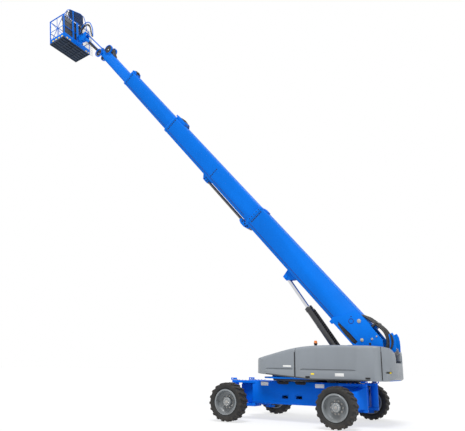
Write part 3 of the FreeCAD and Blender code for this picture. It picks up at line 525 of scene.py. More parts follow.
# ------------------------------------------------------------------ camera, light and floor
camera = bpy.data.objects.new("camera", bpy.data.cameras.new("camera"))
bpy.context.scene.collection.objects.link(camera)
look, top = Vector((0.47312, -0.83539, 0.27979)), Vector((-0.1214, 0.25273, 0.95989))
CAMERA_PLACE, LENS = (-6.664, 16.608, 1.605), 40.26
camera.matrix_world = (Matrix.Translation(CAMERA_PLACE)
                       @ Matrix((look.cross(top), top, -look)).transposed().to_4x4())
camera.data.lens = LENS
camera.data.sensor_width = 36.0
camera.data.clip_end = 400.0
bpy.context.scene.camera = camera

sun = bpy.data.objects.new("key_light", bpy.data.lights.new("key_light", "SUN"))
bpy.context.scene.collection.objects.link(sun)
sun.data.energy = 2.9
sun.data.angle = radians(22)
sun.rotation_euler = Vector((-0.15, 0.46, 0.88)).to_track_quat("Z", "Y").to_euler()


def seen_directly(tree):
    """One where the camera, a reflection or a clear lens looks straight at it."""
    path = add_node(tree, "ShaderNodeLightPath", {})
    seen = add_node(tree, "ShaderNodeMath", {0: path.outputs["Is Camera Ray"],
                                             1: path.outputs["Is Glossy Ray"]},
                    operation="MAXIMUM").outputs[0]
    return add_node(tree, "ShaderNodeMath", {0: seen, 1: path.outputs["Is Transmission Ray"]},
                    operation="MAXIMUM").outputs[0]


world = bpy.data.worlds.new("studio")
world.use_nodes = True
bpy.context.scene.world = world
sky = world.node_tree
soft = sky.nodes["Background"]
soft.inputs["Color"].default_value = (0.93, 0.96, 1.0, 1.0)
soft.inputs["Strength"].default_value = 0.62
white = add_node(sky, "ShaderNodeBackground", {"Color": (1, 1, 1, 1), "Strength": 1.0})
either = add_node(sky, "ShaderNodeMixShader", {0: seen_directly(sky), 1: soft.outputs[0],
                                               2: white.outputs[0]})
sky.links.new(either.outputs[0], sky.nodes["World Output"].inputs["Surface"])

only()
bpy.ops.mesh.primitive_plane_add(size=260, location=(0, 0, 0))
floor = settle(bpy.context.object)
floor.name = "studio_floor"
floor_finish = bpy.data.materials.new("studio_floor")
floor_finish.use_nodes = True
ground = floor_finish.node_tree
matt = ground.nodes["Principled BSDF"]
matt.inputs["Base Color"].default_value = (0.8, 0.8, 0.8, 1.0)
matt.inputs["Roughness"].default_value = 0.9
glow = add_node(ground, "ShaderNodeEmission", {"Color": (1, 1, 1, 1), "Strength": 1.0})
share = times(ground, seen_directly(ground), 0.7)
blend = add_node(ground, "ShaderNodeMixShader", {0: share, 1: matt.outputs[0], 2: glow.outputs[0]})
ground.links.new(blend.outputs[0], ground.nodes["Material Output"].inputs["Surface"])
floor.data.materials.append(floor_finish)

bpy.context.scene.view_settings.view_transform = "Standard"

# ------------------------------------------------------------------ wheels
TYRE_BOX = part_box("tyre_front_left")
TYRE_R = (TYRE_BOX[1].z - TYRE_BOX[0].z) / 2
TYRE_HALF = (TYRE_BOX[1].y - TYRE_BOX[0].y) / 2
LUGS = 19
LUG_LEAN = radians(24)
NUT_CIRCLE, RIM_FACE = 0.172, 0.004
HUB_CIRCLE, HUB_FACE = 0.092, 0.129


def make_tyre():
    """Rough-terrain tyre round the Y axis at the origin, its open side towards +Y."""
    side = [(0.181, 0.3556), (0.181, 0.384), (0.196, 0.404), (0.2045, 0.414), (0.2095, 0.414),
            (0.2145, 0.422), (0.2145, 0.43), (0.2165, 0.436), (TYRE_HALF - 0.003, 0.462),
            (TYRE_HALF - 0.001, 0.492), (0.2165, 0.518), (0.204, 0.533), (0.176, 0.5405), (0.09, 0.5435),
            (0.0, 0.5445)]
    profile = side + [(-along, radius) for along, radius in reversed(side[:-1])]
    carcass = lathe(profile, axis="Y", steps=72)
    lug = block((-0.038, -0.012, 0.53), (0.038, 0.184, TYRE_R - 0.01), 0.007)
    start_editing(lug)
    choose_faces(lug, lambda middle, normal: normal.y > 0.9)
    bpy.ops.transform.translate(value=(0, 0.018, -0.012))
    bpy.ops.mesh.select_all(action="SELECT")
    bpy.ops.transform.rotate(value=LUG_LEAN, orient_axis="Z", center_override=(0, 0.16, 0.55))
    stop_editing()
    foot = block((-0.034, 0.196, 0.474), (0.034, TYRE_HALF - 0.001, 0.56), 0.006)
    start_editing(foot)
    choose_faces(foot, lambda middle, normal: normal.z < -0.9)
    bpy.ops.transform.resize(value=(0.62, 1, 1))
    stop_editing()
    lug = joined(lug, foot)
    left = [Matrix.Rotation(2 * pi * number / LUGS, 4, "Y") for number in range(LUGS)]
    half_turn = Matrix.Rotation(pi, 4, "Z")
    right = [Matrix.Rotation(2 * pi * (number + 0.5) / LUGS, 4, "Y") @ half_turn for number in range(LUGS)]
    tread = repeated(lug, left + right)
    return carcass, tread


def make_wheel_fittings():
    """Wheel nuts on their ring, hub bolts and centre plug, and the valve."""
    nuts = repeated(bolt_head(0.021, 0.026), circle((0, RIM_FACE, 0), NUT_CIRCLE, 10, (0, 1, 0)))
    hub_bolts = repeated(bolt_head(0.011, 0.01), circle((0, HUB_FACE, 0), HUB_CIRCLE, 12, (0, 1, 0), 0.5))
    plug = lathe([(0.126, 0), (0.126, 0.046), (0.134, 0.046), (0.139, 0.038), (0.139, 0.018), (0.146, 0.015),
                  (0.146, 0)], axis="Y", steps=24)
    valve = hose([(0.3, 0.01, 0), (0.305, 0.05, 0), (0.322, 0.075, 0)], 0.006)
    return joined(nuts, hub_bolts, plug, valve)


def make_lock_ring():
    """Rolled outer edge of the rim, with the split lock ring inside it."""
    edge = [(0.192, 0.333), (0.192, 0.374), (0.197, 0.378), (0.203, 0.374), (0.203, 0.362), (0.2, 0.352),
            (0.206, 0.342), (0.203, 0.334)]
    return lathe(edge, axis="Y", steps=72)


carcass, tread = make_tyre()
fittings = make_wheel_fittings()
lock_ring = make_lock_ring()
web_ring = lathe([(0.006, 0.2), (0.006, 0.214), (0.014, 0.217), (0.022, 0.214), (0.022, 0.2),
                  (0.014, 0.197)], axis="Y", steps=60)
for corner in CORNERS:
    turn = joint_place("roll_" + corner)
    if corner.endswith("right"):
        turn = turn @ Matrix.Rotation(pi, 4, "Z")
    body = "wheel_" + corner
    keep(copied(carcass, turn), "tyre_carcass_" + corner, body, "tyre", "tyre_" + corner)
    keep(copied(tread, turn), "tyre_lugs_" + corner, body, "tread")
    keep(copied(fittings, turn), "wheel_nuts_" + corner, body, "bare_steel")
    keep(joined(copied(lock_ring, turn), copied(web_ring, turn)), "rim_edge_" + corner, body, "rim_paint")
    keep_finer("wheel_" + corner, 0.004, "rim_" + corner, body, "rim_paint")
for master in (carcass, tread, fittings, lock_ring, web_ring):
    bpy.data.objects.remove(master)

# ------------------------------------------------------------------ axle arms and knuckles
HOSE_OUT = 0.125
CAP_TOP, CAP_CIRCLE = 0.895, 0.072
FLANGE_IN, FLANGE_CIRCLE = 0.19, 0.124
for corner in CORNERS:
    ahead = 1 if corner.startswith("front") else -1
    left = 1 if corner.endswith("left") else -1
    arm, knuckle = "axle_arm_" + corner, "knuckle_" + corner
    post, king, wheel = (Vector(joints[kind + corner]["pos_m"]) for kind in ("swing_", "steer_", "roll_"))
    along = Vector((king.x - post.x, king.y - post.y, 0)).normalized()
    side = Vector((-along.y, along.x, 0)) * (HOSE_OUT if ahead * left > 0 else -HOSE_OUT)
    keep_finer(arm, 0.006, "swing_arm_" + corner, arm, "chassis_paint")
    keep_finer("steering_" + knuckle, 0.004, knuckle, knuckle, "black_paint")

    # two hoses along the arm, the bolts of its kingpin cap and those of the drive's flange
    lines = []
    for height in (0.8, 0.86):
        steps = ((0.15, 0.16), (0.21, 0.08), (0.29, 0.0), (0.4, 0.0), (0.51, 0.0), (0.6, -0.05))
        lines.append(hose([(*(post + along * step + side).xy, height + rise) for step, rise in steps], 0.014))
    keep(lines, "drive_hoses_" + corner, arm, "hose")
    caps = repeated(bolt_head(0.012, 0.012), circle((king.x, king.y, CAP_TOP), CAP_CIRCLE, 6, (0, 0, 1)))
    keep(caps, "kingpin_bolts_" + corner, arm, "zinc")
    flange = (wheel.x, wheel.y - left * FLANGE_IN, wheel.z)
    bolts = repeated(bolt_head(0.01, 0.01), circle(flange, FLANGE_CIRCLE, 10, (0, left, 0), 0.5))
    keep(bolts, "drive_flange_bolts_" + corner, knuckle, "zinc")

# ------------------------------------------------------------------ chassis
keep_finer("chassis_frame", 0.007, "chassis_box", "chassis", "chassis_paint")
keep_finer("corner_mounts", 0.005, "chassis_corners", "chassis", "chassis_paint")
keep_finer("slew_ring", 0.004, "slewing_bearing", "chassis", "bare_steel")

# recesses under the roof of each side, and blank plates on its ends
side, roof = CHASSIS_SIDE, CHASSIS[1].z
for name, x0, x1 in (("front", 0.205, 0.62), ("rear", -0.375, -0.005)):
    low, middle, high = roof - 0.085, roof - 0.055, roof - 0.018
    tray = upright(((x0, roof), (x1, roof), (x1 - 0.01, middle), (x1 - 0.05, low), (x0 + 0.05, low),
                    (x0 + 0.01, middle)), side, 0.012, 0.004)
    inner = upright(((x0 + 0.05, high), (x1 - 0.05, high), (x1 - 0.07, roof - 0.062),
                     (x0 + 0.07, roof - 0.062)), side + 0.012, 0.004, 0.0015)
    keep_both([tray, inner], name + "_side_recess", "chassis", "seal")
for name, x0, x1, z0, z1 in (("front", 0.93, 1.19, 1.055, 1.165), ("rear", -0.96, -0.67, 1.035, 1.15)):
    mark = block((x0, side, z0), (x1, side + 0.003, z1), 0.001)
    keep_both(mark, name + "_blank_plate", "chassis", "blank_plate")

# flat bar along the foot of each side, frames and floors of the fork pockets
bar = block((-1.48, side, 0.545), (1.48, side + 0.01, 0.585), 0.003)
keep_both(bar, "chassis_foot_bar", "chassis", "chassis_paint")
POCKETS = (0.345, -0.125)
pockets = []
for x in POCKETS:
    outline = ((x - 0.125, 0.66), (x + 0.125, 0.66), (x + 0.125, 0.795), (x - 0.125, 0.795))
    frame_bar = upright(outline, side, 0.008, 0.002)
    cut_from(frame_bar, block((x - 0.105, side - 0.02, 0.68), (x + 0.105, side + 0.03, 0.775), 0.002))
    pockets.append(frame_bar)
keep_both(pockets, "fork_pocket_frames", "chassis", "chassis_paint")
floors = [block((x - 0.104, -side + 0.03, 0.681), (x + 0.104, side - 0.03, 0.687), 0.001) for x in POCKETS]
keep(floors, "fork_pocket_floors", "chassis", "seal")

# bolts of the corner mounts and the slewing bearing, hinge post caps and the frame's two ends
bolt = bolt_head(0.017, 0.014)
places = []
for ahead in (1, -1):
    for left in (1, -1):
        for z in (0.62, 0.76, 0.94, 1.08):
            places.append(facing((ahead * 1.5, left * 0.56, z), (ahead, 0, 0)))
        for x in (1.66, 1.78, 1.9, 2.02):
            places.append(facing((ahead * x, left * (0.615 - (x - 1.66) * 0.06), roof), (0, 0, 1)))
keep(repeated(bolt, places), "corner_mount_bolts", "chassis", "zinc")
bolt = bolt_head(0.018, 0.016)
BEARING_CIRCLE = 0.66
places = [place for place in circle((0, 0, roof), BEARING_CIRCLE, 36, (0, 0, 1))
          if abs(place.translation.y) < side - 0.03]
keep(repeated(bolt, places), "slewing_bearing_bolts", "chassis", "zinc")
cap = [(-0.002, 0), (-0.002, 0.085), (0.014, 0.085), (0.02, 0.078), (0.02, 0.03), (0.03, 0.026), (0.03, 0)]
pins = [lathe([(roof + rise, radius) for rise, radius in cap], (x, y, 0), "Z", 28)
        for x in (2.15, -2.15) for y in (0.61, -0.61)]
keep(pins, "hinge_post_caps", "chassis", "bare_steel")
END_START, END_TIP, END_FOOT = 1.495, 1.99, 0.49
for name, ahead in (("front", 1), ("rear", -1)):
    x0, x1 = ahead * END_START, ahead * END_TIP
    outline = ((x0, 0.53), (x1, 0.44), (x1, -0.44), (x0, -0.53))
    end = plate([(x, y, END_FOOT) for x, y in outline], (0, 0, 0.62), 0.008)
    keep(end, name + "_chassis_end", "chassis", "chassis_paint")
    back, front = sorted((x1, x1 + ahead * 0.03))
    ribs = [block((back, y - 0.02, 0.52), (front, y + 0.02, 1.08), 0.004) for y in (-0.41, 0.41)]
    keep(ribs, name + "_end_ribs", "chassis", "chassis_paint")

# ------------------------------------------------------------------ turntable
keep_finer("turntable_frame", 0.005, "turntable_plates", "turntable", "blue_paint")
keep_finer("engine_block", 0.03, "engine", "turntable", "engine")
keep_finer("tank_block", 0.045, "tanks", "turntable", "tank")

# guard round the slewing ring, and trays under the deck
pan = lathe([(1.215, 0.64), (1.215, 0.93), (1.235, 0.96), (1.286, 0.96), (1.286, 0.64)], steps=56)
keep(pan, "slewing_guard", "turntable", "tank")
half_tray = ((-1.1, -0.7), (-1.9, -0.62), (-1.97, -0.4))
outline = half_tray + tuple((x, -y) for x, y in reversed(half_tray))
trays = [plate([(x, y, 1.222) for x, y in outline], (0, 0, 0.064), 0.012)]
trays += [block((-1.42, y, 1.215), (-1.16, y + 0.26, 1.286), 0.012) for y in (0.72, -0.98)]
keep(trays, "under_deck_trays", "turntable", "seal")


def groove(x0, x1, z, drop, side_y):
    """Cutter for the long crease in a hood's side, running out at both ends."""
    half = 0.036
    outline = [(x0, side_y, z), (x0 - 0.07, side_y, z + half), (x1 + 0.1, side_y, z + half - drop),
               (x1, side_y, z - drop), (x1 + 0.06, side_y, z - half - drop), (x0 - 0.05, side_y, z - half)]
    cutter = plate(outline, (0, 0.05 if side_y > 0 else -0.05, 0), 0)
    start_editing(cutter)
    bpy.ops.transform.translate(value=(0, -0.018 if side_y > 0 else 0.018, 0))
    choose_faces(cutter, lambda middle, normal: normal.y * side_y < 0 and abs(normal.y) > 0.9)
    bpy.ops.transform.resize(value=(0.985, 1, 0.35))
    bpy.ops.transform.translate(value=(0, 0, -0.016))
    stop_editing()
    return cutter


# hoods with their long creases cut in
for word, y in (("left", HOOD_SIDE), ("right", -HOOD_SIDE)):
    keep_finer(word + "_hood_nose", 0.006, word + "_nose_hood", "turntable", "hood_plastic", 40,
               [groove(0.8, -0.16, 1.595, 0.004, y)])
    keep_finer(word + "_hood_door", 0.006, word + "_door_hood", word + "_door", "hood_plastic", 40,
               [groove(-0.36, -2.12, 1.592, 0.016, y)])


# the tail with its reflector recesses, and the shoulders over it
def is_low_rear(middle):
    return middle.z < 1.47 and (abs(middle.y) > 0.9 or middle.x < -3.02)


recesses = [block((-3.1, y, 1.5), (-2.92, y + 0.35, 1.555), 0.012) for y in (0.7, -1.05)]
keep_finer("counterweight", 0.006, "tail_counterweight", "turntable", "counterweight_iron", 40, recesses,
           (is_low_rear, 0.075))
outline = ((-3.085, 1.86), (-3.09, 2.0), (-3.07, 2.09), (-3.02, 2.16), (-2.94, 2.205), (-2.87, 2.215),
           (-2.87, 1.86))
shoulder = upright(outline, 0.35, 0.19, 0.03)
keep_both(shoulder, "tail_shoulder", "turntable", "counterweight_iron")

# rubber lips of the two seams on each side
for name, x, z in (("nose", -0.198, 2.09), ("tail", -2.862, 2.1)):
    lip = block((x - 0.013, 1.143, 1.345), (x + 0.013, 1.153, z), 0.003)
    keep_both(lip, name + "_seam_lip", "turntable", "seal")

# painted shade: a dark strip along each hood's foot stands in for the shade under its rounded lower edge, and
# a dark strip in each long crease for the crease's shadow
side = HOOD_SIDE
nose_x = NOSE[1].x
foot_slope = 0.155 / (nose_x + 0.76)


def foot_height(x):
    return 1.285 + max(0.0, x + 0.76) * foot_slope


for name, body, foot in (("nose", "turntable", (-0.185, nose_x - 0.42)),
                         ("door", "door", (-2.5, -0.76, -0.22))):
    outline = [(x, side - 0.004, foot_height(x) + 0.002) for x in foot]
    outline += [(x, side - 0.004, foot_height(x) + 0.036) for x in reversed(foot)]
    keep_both(plate(outline, (0, 0.0055, 0), 0.001), name + "_foot_painted_shade", body, "hood_painted_shade")
for name, body, x0, x1, z in (("nose", "turntable", -0.14, 0.76, 1.595),
                              ("door", "door", -2.08, -0.42, 1.584)):
    outline = ((x0, z), (x1, z + 0.006), (x1 - 0.05, z + 0.032), (x0 + 0.05, z + 0.028))
    strip = upright(outline, side - 0.016, 0.0155, 0.001)
    keep_both(strip, name + "_crease_painted_shadow", body, "hood_painted_shade")

# blank plates, yellow marks and door latches on the hoods' sides
for name, body, x0, x1, z0, z1, finish in (
        ("door_blank_plate", "door", -1.75, -1.48, 1.395, 1.485, "blank_plate"),
        ("door_yellow_mark", "door", -0.83, -0.73, 1.43, 1.47, "yellow_paint"),
        ("nose_blank_plate", "turntable", -0.085, 0.185, 1.64, 1.69, "blank_plate")):
    keep_both(block((x0, side, z0), (x1, side + 0.003, z1), 0.001), name, body, finish)
for name, x in (("front", -0.62), ("rear", -2.45)):
    cup = block((x - 0.07, side - 0.002, 1.335), (x + 0.07, side + 0.004, 1.385), 0.002)
    bends = ((-0.045, 0.002), (-0.04, 0.016), (0.04, 0.016), (0.045, 0.002))
    grip = hose([(x + ahead, side + out, 1.36) for ahead, out in bends], 0.006)
    keep_both([cup, grip], "door_latch_" + name, "door", "seal")

# reflector in a shadowed recess low on each side of the tail
reflector = block((-3.035, 0.745, 1.508), (-2.985, 0.8, 1.535), 0.004)
keep_both(reflector, "tail_reflector", "turntable", "yellow_paint")

# beacon on its stalk
x, y, z = (BEACON[0].x + BEACON[1].x) / 2, (BEACON[0].y + BEACON[1].y) / 2, BEACON[1].z
lens = lathe([(z - 0.09, 0), (z - 0.09, 0.054), (z - 0.076, 0.056), (z - 0.07, 0.053), (z - 0.03, 0.05),
              (z - 0.012, 0.04), (z - 0.002, 0.02), (z, 0)], (x, y, 0), steps=28)
keep(lens, "beacon_lens", "left_door", "beacon", "beacon")
stalk = lathe([(BEACON[0].z, 0), (BEACON[0].z, 0.043), (z - 0.13, 0.043), (z - 0.115, 0.058),
               (z - 0.092, 0.058), (z - 0.088, 0.05), (z - 0.088, 0)], (x, y, 0), "Z", 28)
keep(stalk, "beacon_base", "left_door", "seal")

# engine room air slots in the right door
slats = [block((-2.45, -HOOD_SIDE - 0.004, z), (-1.75, -HOOD_SIDE + 0.004, z + 0.018), 0.002)
         for z in (1.66 + number * 0.05 for number in range(9))]
keep(slats, "air_slots", "right_door", "seal")

# slewing drive, valve bank and hose runs in the lane between the hoods
drive = lathe([(1.34, 0), (1.34, 0.13), (1.36, 0.13), (1.36, 0.1), (1.42, 0.1), (1.44, 0.085), (1.44, 0)],
              (0.45, 0.0, 0), "Z", 32)
keep(drive, "slewing_drive", "turntable", "engine")
bank = block((-0.25, -0.22, 1.337), (0.18, 0.22, 1.415), 0.01)
spools = [block((-0.22 + number * 0.065, 0.22, 1.345), (-0.18 + number * 0.065, 0.3, 1.405), 0.006)
          for number in range(6)]
keep([bank] + spools, "valve_bank", "turntable", "bare_steel")
lines = [hose([(-0.2 + number * 0.07, -0.22, 1.385), (-0.2 + number * 0.07, -0.3, 1.385),
               (-0.35, -0.33 + number * 0.012, 1.38), (-1.05, -0.3 + number * 0.024, 1.37)], 0.012)
         for number in range(5)]
keep(lines, "valve_hoses", "turntable", "hose")

# ------------------------------------------------------------------ boom
# Everything in this block is drawn along the boom: x along it, z square to it.
BASE_SIDE, MID_SIDE, FLY_SIDE, PLATE_SIDE = 0.3, 0.27, 0.235, 0.324


def boom_keep(piece, name, body, finish):
    keep(settle(piece, ON_BOOM), name, body, finish)


def boom_both(piece, name, body, finish):
    keep_both(settle(piece, ON_BOOM), name, body, finish)


outline = ((1.49, -0.08), (1.4, -0.145), (0.72, -0.2), (0.6, -0.15), (0.6, -0.045), (0.95, -0.045))
slots = []
for left in (1, -1):
    slot = upright(outline, left * 0.302, left * 0.05, 0)
    slots.append(settle(slot, ON_BOOM))
keep_finer("boom_base", 0.006, "boom_first_section", "boom_base", "blue_paint", cutters=slots)
for node, rounding, word in (("boom_mid", 0.006, "second"), ("boom_fly", 0.005, "third"),
                             ("boom_tip", 0.005, "fourth")):
    keep_finer(node, rounding, "boom_" + word + "_section", node, "blue_paint")

# backing and hoses in the slot of the foot plate
outline = ((1.47, -0.084), (1.39, -0.14), (0.72, -0.194), (0.61, -0.148), (0.61, -0.05), (0.95, -0.05))
backing = upright(outline, 0.3005, 0.004, 0.001)
boom_both(backing, "foot_slot_backing", "boom_base", "seal")
lines = [hose([(1.42, 0.317, -0.092 - drop), (1.2, 0.322, -0.105 - drop * 1.3),
               (0.95, 0.322, -0.11 - drop * 1.5), (0.68, 0.316, -0.105 - drop)], 0.0115)
         for drop in (0.0, 0.024, 0.048)]
boom_both(lines, "foot_slot_hoses", "boom_base", "hose")

# long seams where the folded lower plate meets each section's side, in a darker blue that paints the shadow
# under the fold
for name, body, side, height, u0, u1 in (("first", "boom_base", BASE_SIDE, -0.092, 1.72, 6.36),
                                         ("second", "boom_mid", MID_SIDE, -0.046, 6.75, 12.52),
                                         ("third", "boom_fly", FLY_SIDE, -0.015, 12.78, 16.48)):
    seam = block((u0, side - 0.004, height - 0.009), (u1, side + 0.003, height + 0.009), 0.002)
    boom_both(seam, name + "_section_painted_shade_seam", body, "painted_shade_blue")

# rows of pad bolts near each section's outer end
for name, body, side, u, v0, v1, count, radius in (
        ("first", "boom_base", BASE_SIDE, 6.3, 0.02, 0.5, 7, 0.02),
        ("first_outer", "boom_base", BASE_SIDE + 0.014, 6.44, 0.02, 0.5, 5, 0.014),
        ("second", "boom_mid", MID_SIDE, 12.47, 0.02, 0.48, 6, 0.02),
        ("second_rear", "boom_mid", MID_SIDE, 9.1, 0.02, 0.36, 5, 0.018),
        ("third", "boom_fly", FLY_SIDE, 16.44, 0.04, 0.46, 5, 0.018)):
    spots = [(u, side, v0 + (v1 - v0) * number / (count - 1)) for number in range(count)]
    boom_both(bolt_row(radius, radius * 0.8, spots, (0, 1, 0)), name + "_pad_bolts", body, "seal")

# pins and bosses on the foot plates
for name, u, v, radius, proud, finish in (("bright_pin", 1.029, 0.427, 0.047, 0.03, "bare_steel"),
                                          ("plate_pin", 0.553, 0.094, 0.038, 0.034, "zinc"),
                                          ("upper_pin", 0.369, 0.344, 0.026, 0.028, "bare_steel"),
                                          ("rear_pin", 0.331, 0.5, 0.02, 0.022, "bare_steel"),
                                          ("lower_pin", 0.303, 0.2, 0.028, 0.02, "seal")):
    pin = lathe([(PLATE_SIDE - 0.002, 0), (PLATE_SIDE - 0.002, radius * 1.35),
                 (PLATE_SIDE + 0.006, radius * 1.35), (PLATE_SIDE + 0.008, radius),
                 (PLATE_SIDE + proud - 0.005, radius), (PLATE_SIDE + proud, radius * 0.8),
                 (PLATE_SIDE + proud, 0)], (u, 0, v), "Y", 20)
    boom_both(pin, name, "boom_base", finish)
ring = lathe([(PLATE_SIDE - 0.001, 0.064), (PLATE_SIDE + 0.006, 0.068), (PLATE_SIDE + 0.006, 0.082),
              (PLATE_SIDE - 0.001, 0.086)], (1.201, 0, 0.24), "Y", 32)
boom_both(ring, "inspection_ring", "boom_base", "painted_shade_blue")
hole = lathe([(PLATE_SIDE - 0.001, 0), (PLATE_SIDE - 0.001, 0.02), (PLATE_SIDE + 0.002, 0.018),
              (PLATE_SIDE + 0.002, 0)], (1.3, 0, 0.34), "Y", 16)
boom_both(hole, "rigging_hole", "boom_base", "seal")

# hoses over the boom's rear end, with the sheaves and their guards behind them
lines = []
for y, lift in ((-0.25, 0.0), (-0.17, 0.03), (-0.08, 0.0), (0.02, 0.03), (0.11, 0.0), (0.19, 0.03),
                (0.27, 0.0)):
    lines.append(hose([(1.14, y * 0.8, 0.59), (1.0, y * 0.9, 0.655 + lift), (0.8, y, 0.7 + lift),
                       (0.62, y, 0.735 + lift), (0.32, y, 0.775 + lift), (0.1, y, 0.7 + lift),
                       (-0.06, y, 0.56 + lift * 0.5), (-0.12, y, 0.42), (-0.15, y, 0.28)], 0.03))
boom_keep(lines, "rear_hose_bundle", "boom_base", "hose")
clamp = block((0.62, -0.3, 0.58), (0.67, 0.3, 0.8), 0.008)
boom_keep(clamp, "rear_hose_clamp", "boom_base", "black_paint")
outline = ((0.1, 0.93), (-0.02, 0.9), (-0.14, 0.825), (-0.26, 0.725), (-0.36, 0.63), (-0.34, 0.55),
           (-0.2, 0.5), (-0.14, 0.58), (-0.02, 0.7), (0.14, 0.8))
cheek = upright(outline, 0.285, 0.015, 0.004)
boom_both(cheek, "sheave_cheek", "boom_base", "blue_paint")
sheaves = [lathe([(y - 0.02, 0.03), (y - 0.02, 0.11), (y - 0.012, 0.11), (y, 0.095), (y + 0.012, 0.11),
                  (y + 0.02, 0.11), (y + 0.02, 0.03)], (-0.26, 0, 0.52), "Y", 32) for y in (-0.235, 0.235)]
boom_keep(sheaves, "rear_sheaves", "boom_base", "bare_steel")
lines = [hose([(0.1, y, 0.86), (-0.04, y, 0.83 - drop), (-0.15, y, 0.72 - drop), (-0.21, y, 0.6 - drop),
               (-0.2, y, 0.53)], 0.018) for y, drop in ((0.32, 0.0), (0.322, 0.05))]
boom_both(lines, "cheek_hoses", "boom_base", "hose")

# hose carriers and small brackets at the sections' ends
for name, body, u0, u1, v, half in (("second", "boom_mid", 11.98, 12.6, 0.64, 0.17),
                                    ("third", "boom_fly", 16.36, 16.7, 0.6, 0.14)):
    lines = [hose([(u0, y, v - 0.035), (u0 + 0.1, y, v + 0.03), (u0 + (u1 - u0) * 0.5, y, v + 0.095 + lift),
                   (u1 - 0.08, y, v + 0.05), (u1, y, v - 0.02)], 0.02)
             for y, lift in ((-half * 0.8, 0.0), (-half * 0.4, 0.02), (0.0, 0.0), (half * 0.4, 0.02),
                             (half * 0.8, 0.0))]
    boom_keep(lines, name + "_section_hoses", body, "hose")
    for left in (1, -1):
        y = left * half
        outline = ((u0 - 0.05, v - 0.06), (u1, v - 0.06), (u1 + 0.02, v + 0.02), (u1 - 0.16, v + 0.085),
                   (u0 + 0.08, v + 0.07))
        cheek = upright(outline, y, left * 0.012)
        boom_keep(cheek, name + ("_left" if left > 0 else "_right") + "_hose_cheek", body, "blue_paint")
    roller = lathe(drum(-half + 0.01, half - 0.01, 0, 0.045), (u1 - 0.1, 0, v + 0.02), "Y", 20)
    boom_keep(roller, name + "_section_roller", body, "black_paint")
for name, body, radius, height, spots in (
        ("block", "boom_base", 0.022, 0.016, ((6.4, -0.255), (6.55, -0.26), (6.7, -0.27), (6.45, -0.31))),
        ("bracket", "boom_mid", 0.02, 0.014, ((9.17, -0.21), (9.3, -0.2), (9.2, -0.28), (9.34, -0.28)))):
    row = bolt_row(radius, height, [(u, 0.15, v) for u, v in spots], (0, 1, 0))
    boom_both(row, "guide_" + name + "_bolts", body, "seal")

# ------------------------------------------------------------------ lift cylinder
keep_finer("lift_cylinder_barrel", 0.006, "cylinder_barrel", "lift_barrel", "black_paint", 40)
keep_finer("lift_cylinder_rod", 0.003, "cylinder_rod", "lift_rod", "chrome", 40)
first, pitch, count = 0.22, 0.078, 27
profile = [(first, 0)]
for number in range(count):
    start = first + number * pitch
    profile += [(start, 0.026), (start + pitch * 0.3, 0.052), (start + pitch * 0.5, 0.052),
                (start + pitch * 0.8, 0.026)]
profile += [(first + count * pitch, 0.026), (first + count * pitch, 0)]
sleeve = lathe(profile, (0, 0, 0), "X", 12)
settle(sleeve, ON_CYLINDER @ Matrix.Translation((0.12, 0.066, 0.134)))
keep(sleeve, "cylinder_hose_sleeve", "lift_barrel", "seal")
pipe = hose([(0.22, -0.06, 0.12), (0.3, -0.06, 0.142), (1.2, -0.06, 0.142), (2.4, -0.06, 0.142),
             (2.52, -0.06, 0.12)], 0.014)
keep(settle(pipe, ON_CYLINDER), "cylinder_oil_pipe", "lift_barrel", "black_paint")
bands = [lathe(drum(u, u + 0.03, 0.1165, 0.124), axis="X", steps=36) for u in (0.5, 1.2, 1.9)]
bands.append(lathe([(2.646, 0.07), (2.646, 0.098), (2.654, 0.094), (2.654, 0.07)], (0, 0, 0), "X", 36))
keep(settle(bands, ON_CYLINDER), "cylinder_bands", "lift_barrel", "black_paint")

# ------------------------------------------------------------------ jib
for node, rounding, name in (
        ("level_bracket", 0.004, "levelling_bracket"), ("jib_arm", 0.006, "jib_lower_arm"),
        ("jib_link", 0.004, "jib_upper_link"), ("jib_head", 0.004, "jib_outer_head")):
    keep_finer(node, rounding, name, node, "blue_paint")
lines = [hose([(0.52, side * 0.086, z), (0.58, side * 0.104, z), (1.0, side * 0.104, z - 0.01),
               (1.36, side * 0.104, z), (1.42, side * 0.086, z)], 0.019)
         for side in (1, -1) for z in (0.042, 0.0, -0.042)]
keep(settle(lines, ON_JIB), "jib_hoses", "jib_arm", "hose")
clips = [block((u, y, -0.055), (u + 0.03, y + 0.036, 0.055), 0.001)
         for y in (0.072, -0.108) for u in (0.66, 0.95, 1.24)]
keep(settle(clips, ON_JIB), "jib_hose_clips", "jib_arm", "black_paint")
loops = [hose([(-0.04, y, 0.12), (-0.07, y, 0.24), (0.02, y, 0.33), (0.12, y, 0.33), (0.2, y, 0.26),
               (0.22, y, 0.16)], 0.018) for y in (-0.104, 0.104)]
keep(settle(loops, ON_BRACKET), "bracket_hose_loops", "level_bracket", "hose")
pads = [lathe(drum(y, y + 0.014, 0, 0.05), place, "Y", 24)
        for y in (0.119, -0.133) for place in ((0.0, 0, 0.0), (0.15, 0, 0.04))]
keep(settle(pads, ON_BRACKET), "bracket_pin_caps", "level_bracket", "bare_steel")

